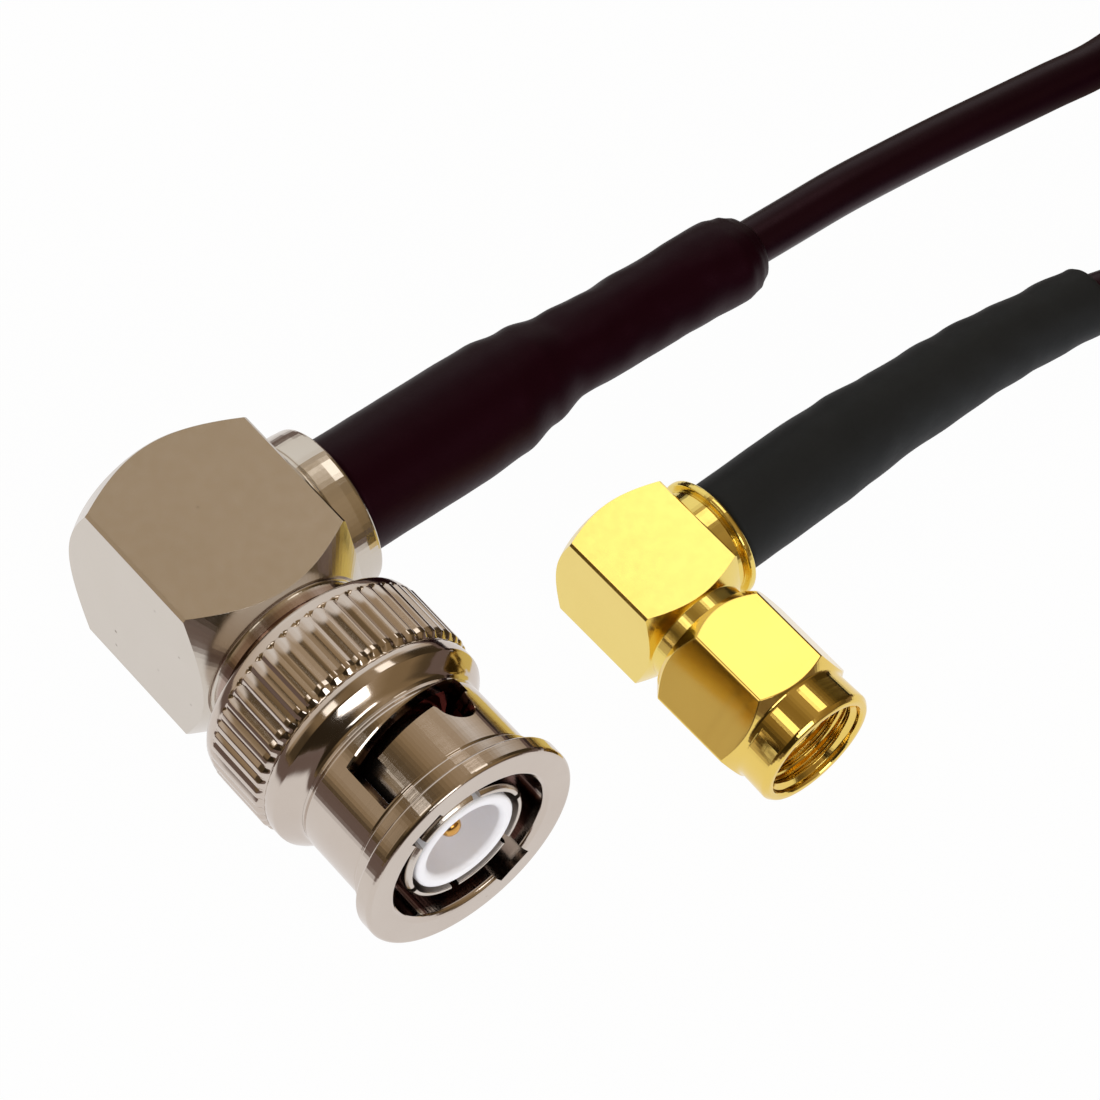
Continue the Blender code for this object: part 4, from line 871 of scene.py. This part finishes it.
shape = cutMesh(turned(smaProfile, segments=112), [
    ("INTERSECT", bar(-0.02, 0.02, 4, smaBlock["side"] * mm, math.pi / 4, smaBlock["edge"] * mm)),
    ("UNION", turned(smaCollar, "cable", 88, False)),
    ("DIFFERENCE", turned(smaBore, "cable", 40, False)),
], edge=0.00006, edgeAngle=28)
smaBody = piece("smaBlock", shape, {
    "mat": goldBlock, "slot": "gold_body", "place": smaFrame, "replaces": ["sma_body"]})
smaCapProfile = scaled(rounded([(-3.9, 0), (-3.9, 2.4, 0.1), (-3.2, 2.4), (-3.2, 0)]))
piece("smaRearCap", turned(smaCapProfile, closed=False), {
    "mat": goldBlock, "slot": "gold_body", "place": smaFrame, "replaces": ["sma_rear_cap"]})

# SMA nut: hexagon turned to a cone at both ends, round skirt, 36 threads to the inch inside
nutCorner = smaPlace["flats"] / mm / math.sqrt(3) + 0.3
nutProfile = [
    (4.9, 3.7, 0.04), (6.27, nutCorner), (10.8, nutCorner), (11.6, 3.84, 0.15), (11.85, 3.8, 0.1),
    (13.6, 3.86, 0.1), (13.9, 3.62, 0.12), (13.9, 3.3, 0.08), (13.75, 3.2, 0.05)]
thread = {"perInch": 36, "start": 13.62, "end": 8.2, "major": 3.2, "minor": 2.92}
pitch = 25.4 / thread["perInch"]
turns = int((thread["start"] - thread["end"]) / pitch)
for i in range(turns):
    base = thread["start"] - i * pitch
    nutProfile += [(base - pitch * 0.12, thread["major"]), (base - pitch * 0.46, thread["minor"]),
                   (base - pitch * 0.66, thread["minor"]), (base - pitch, thread["major"])]
nutProfile += [(8.1, thread["major"]), (6.0, thread["major"]), (6.0, 2.6), (4.9, 2.6)]
shape = cutMesh(turned(scaled(rounded(nutProfile)), segments=120), [
    ("INTERSECT", bar(0.0, 0.03, 6, smaPlace["flats"], 0.0, 0.00006)),
], edge=0.00006, edgeAngle=24)
smaNut = piece("smaNut", shape, {
    "mat": goldTurned, "slot": "gold_nut", "place": smaFrame, "body": "sma_nut",
    "replaces": ["sma_coupling_nut"]})
smaShellProfile = scaled(rounded([
    (2.4, 2.1), (4.9, 2.1), (4.9, 2.3), (6.1, 2.3), (6.1, 1.95), (7.0, 1.95), (7.0, 2.3),
    (10.3, 2.3, 0.06), (10.4, 2.2, 0.05), (10.4, 1.75, 0.04), (2.4, 1.75)]))
piece("smaShell", turned(smaShellProfile), {
    "mat": goldTurned, "slot": "gold_body", "place": smaFrame, "replaces": ["sma_shell"]})
smaRodProfile = scaled(rounded([(2.4, 1.55), (10.4, 1.55, 0.05), (10.4, 0.66), (2.4, 0.66)]))
piece("smaInsulator", turned(smaRodProfile, segments=48), {
    "mat": ptfeWhite, "slot": "ptfe", "place": smaFrame, "replaces": ["sma_insulator"]})
smaPinProfile = scaled(rounded([
    (-0.46, 0), (-0.46, 0.46), (11.4, 0.46, 0.1), (11.75, 0.34, 0.1), (11.9, 0.12, 0.05), (11.9, 0)]))
piece("smaPin", turned(smaPinProfile, segments=32, closed=False), {
    "mat": goldContact, "slot": "gold_contact", "place": smaFrame, "replaces": ["sma_center_pin"]})
print("SMA plug made")


# world: white behind the object, for the rest a studio painted by direction
world = bpy.data.worlds.new("room")
scene.world = world
world.use_nodes = True
tree = world.node_tree
tree.nodes.clear()
outNode = tree.nodes.new("ShaderNodeOutputWorld")
coord = tree.nodes.new("ShaderNodeTexCoord")
split = tree.nodes.new("ShaderNodeSeparateXYZ")
tree.links.new(coord.outputs["Generated"], split.inputs[0])
turnAngle = addNode(tree, "ShaderNodeMath", operation="ARCTAN2")
tree.links.new(split.outputs["Z"], turnAngle.inputs[0])
tree.links.new(split.outputs["X"], turnAngle.inputs[1])
toTurn = addNode(tree, "ShaderNodeMapRange")
toTurn.inputs["From Min"].default_value = -math.pi
toTurn.inputs["From Max"].default_value = math.pi
tree.links.new(turnAngle.outputs[0], toTurn.inputs["Value"])


def tint(level):
    # dark parts of the room are brown, light ones neutral
    warm = min(1.0, max(0.0, (0.9 - level) / 0.6))
    return (level, level * (0.98 - 0.29 * warm), level * (0.95 - 0.59 * warm))


def roomBands(stops):
    # degrees about the mating axis, from the cable's side up over the top
    ramp = tree.nodes.new("ShaderNodeValToRGB")
    tree.links.new(toTurn.outputs["Result"], ramp.inputs["Fac"])
    while len(ramp.color_ramp.elements) < len(stops):
        ramp.color_ramp.elements.new(0.5)
    for element, (degrees, level) in zip(ramp.color_ramp.elements, stops):
        element.position = (degrees + 180) / 360
        element.color = rgba(tint(level))
    return ramp


backBands = roomBands([
    (-10, 0.45), (9, 0.65), (25, 0.82), (41, 0.52), (57, 0.50), (68, 0.45), (79, 0.40), (89, 0.32),
    (97, 0.19), (107, 0.11), (121, 0.14), (133, 0.2), (145, 0.46), (160, 0.48), (170, 0.36), (178, 0.10)])
frontBands = roomBands([
    (-7, 0.06), (29, 0.06), (41, 0.2), (77, 0.42), (95, 0.24), (105, 0.25), (137, 0.25), (149, 0.08),
    (173, 0.08), (179, 0.2)])
aheadBands = roomBands([
    (-7, 0.08), (8, 0.12), (20, 0.27), (40, 0.28), (58, 0.36), (70, 0.43), (92, 0.22), (104, 0.10),
    (116, 0.04), (145, 0.03), (173, 0.03), (179, 0.06)])


def blendAlong(low, high, nearBands, farBands):
    # from one set of bands to the other along the mating axis
    way = tree.nodes.new("ShaderNodeMapRange")
    way.interpolation_type = "SMOOTHSTEP"
    way.inputs["From Min"].default_value = low
    way.inputs["From Max"].default_value = high
    tree.links.new(split.outputs["Y"], way.inputs["Value"])
    mix = addNode(tree, "ShaderNodeMix", data_type="RGBA")
    tree.links.new(way.outputs["Result"], mix.inputs["Factor"])
    tree.links.new(nearBands, mix.inputs["A"])
    tree.links.new(farBands, mix.inputs["B"])
    return mix.outputs["Result"]


upperBands = blendAlong(0.398, 0.418, frontBands.outputs["Color"], backBands.outputs["Color"])
farBands = roomBands([(-10, 0.85), (60, 0.9), (120, 0.8), (178, 0.6)])
behindBands = blendAlong(0.5, 0.62, upperBands, farBands.outputs["Color"])
allBands = blendAlong(-0.5, -0.35, aheadBands.outputs["Color"], behindBands)
room = tree.nodes.new("ShaderNodeBackground")
tree.links.new(allBands, room.inputs["Color"])
white = tree.nodes.new("ShaderNodeBackground")
paths = tree.nodes.new("ShaderNodeLightPath")
mixer = tree.nodes.new("ShaderNodeMixShader")
tree.links.new(paths.outputs["Is Camera Ray"], mixer.inputs["Fac"])
tree.links.new(room.outputs[0], mixer.inputs[1])
tree.links.new(white.outputs[0], mixer.inputs[2])
white.inputs["Color"].default_value = (1, 1, 1, 1)
tree.links.new(mixer.outputs[0], outNode.inputs["Surface"])

# floor: white to the eye apart from the object's faint shadow
floorMesh = bpy.data.meshes.new("floor")
floorMesh.from_pydata([(-2, -2, 0), (2, -2, 0), (2, 2, 0), (-2, 2, 0)], [], [(0, 1, 2, 3)])
floor = bpy.data.objects.new("floor", floorMesh)
floor.location = (0, 0, surface - 0.0003)
scene.collection.objects.link(floor)
mat = bpy.data.materials.new("floorPaper")
mat.use_nodes = True
tree = mat.node_tree
tree.nodes.clear()
outNode = tree.nodes.new("ShaderNodeOutputMaterial")
diffuse = tree.nodes.new("ShaderNodeBsdfDiffuse")
diffuse.inputs["Color"].default_value = (0.9, 0.9, 0.9, 1)
seen = tree.nodes.new("ShaderNodeEmission")
seen.inputs["Color"].default_value = (1, 1, 1, 1)
shadowed = tree.nodes.new("ShaderNodeMixShader")
shadowed.inputs["Fac"].default_value = 0.98
tree.links.new(diffuse.outputs[0], shadowed.inputs[1])
tree.links.new(seen.outputs[0], shadowed.inputs[2])
# for reflections: a white sheet under the plugs that ends in a darker table
coord = tree.nodes.new("ShaderNodeTexCoord")
away = addNode(tree, "ShaderNodeVectorMath", operation="DISTANCE")
away.inputs[1].default_value = (0.012, -0.022, 0)
tree.links.new(coord.outputs["Object"], away.inputs[0])
edge = addNode(tree, "ShaderNodeMapRange")
edge.interpolation_type = "SMOOTHSTEP"
edge.inputs["From Min"].default_value = 0.040
edge.inputs["From Max"].default_value = 0.056
tree.links.new(away.outputs["Value"], edge.inputs["Value"])
sheetMix = addNode(tree, "ShaderNodeMix", data_type="RGBA")
sheetMix.inputs["A"].default_value = (0.97, 0.955, 0.96, 1)
sheetMix.inputs["B"].default_value = (0.11, 0.06, 0.05, 1)
tree.links.new(edge.outputs["Result"], sheetMix.inputs["Factor"])
sheet = tree.nodes.new("ShaderNodeEmission")
tree.links.new(sheetMix.outputs["Result"], sheet.inputs["Color"])
mirrored = tree.nodes.new("ShaderNodeMixShader")
mirrored.inputs["Fac"].default_value = 0.85
tree.links.new(diffuse.outputs[0], mirrored.inputs[1])
tree.links.new(sheet.outputs[0], mirrored.inputs[2])
paths = tree.nodes.new("ShaderNodeLightPath")
mixer = tree.nodes.new("ShaderNodeMixShader")
tree.links.new(paths.outputs["Is Camera Ray"], mixer.inputs["Fac"])
tree.links.new(mirrored.outputs[0], mixer.inputs[1])
tree.links.new(shadowed.outputs[0], mixer.inputs[2])
tree.links.new(mixer.outputs[0], outNode.inputs["Surface"])
floorMesh.materials.append(mat)


def softBox(name, way, away, size, radiance, colour):
    # size: along the mating axis, then across it
    data = bpy.data.lights.new(name, "AREA")
    data.shape = "RECTANGLE"
    data.size, data.size_y = size
    data.energy = radiance * math.pi * size[0] * size[1]
    data.color = colour
    obj = bpy.data.objects.new(name, data)
    way = Vector(way).normalized()
    along = Vector((0, 1, 0))
    along = (along - way * way.y).normalized()
    across = way.cross(along)
    turn = Matrix((along, across, way)).transposed().to_4x4()
    obj.matrix_world = Matrix.Translation(Vector((0.012, -0.02, 0)) + way * away) @ turn
    scene.collection.objects.link(obj)
    return obj


def onRing(degrees, ahead):
    # direction at an angle about the mating axis, with its share of +Y
    flat = math.sqrt(1 - ahead * ahead)
    return (flat * math.cos(math.radians(degrees)), ahead, flat * math.sin(math.radians(degrees)))


softBox("stripRight", onRing(59.7, 0.174), 1.2, (0.588, 0.325), 1.42, (1, 0.98, 0.93))
softBox("stripLeft", onRing(119.5, 0.174), 1.2, (0.6, 0.27), 1.5, (1, 0.98, 0.93))
softBox("frontTop", (-0.045, -0.87, 0.49), 1.2, (0.34, 0.5), 3.5, (1, 0.99, 0.97))
fill = softBox("frontFill", (-0.14, -0.96, 0.24), 1.3, (0.9, 0.9), 4.2, (0.96, 0.98, 1))
fill.visible_glossy = False
scene.view_settings.view_transform = "Standard"
print("light made")
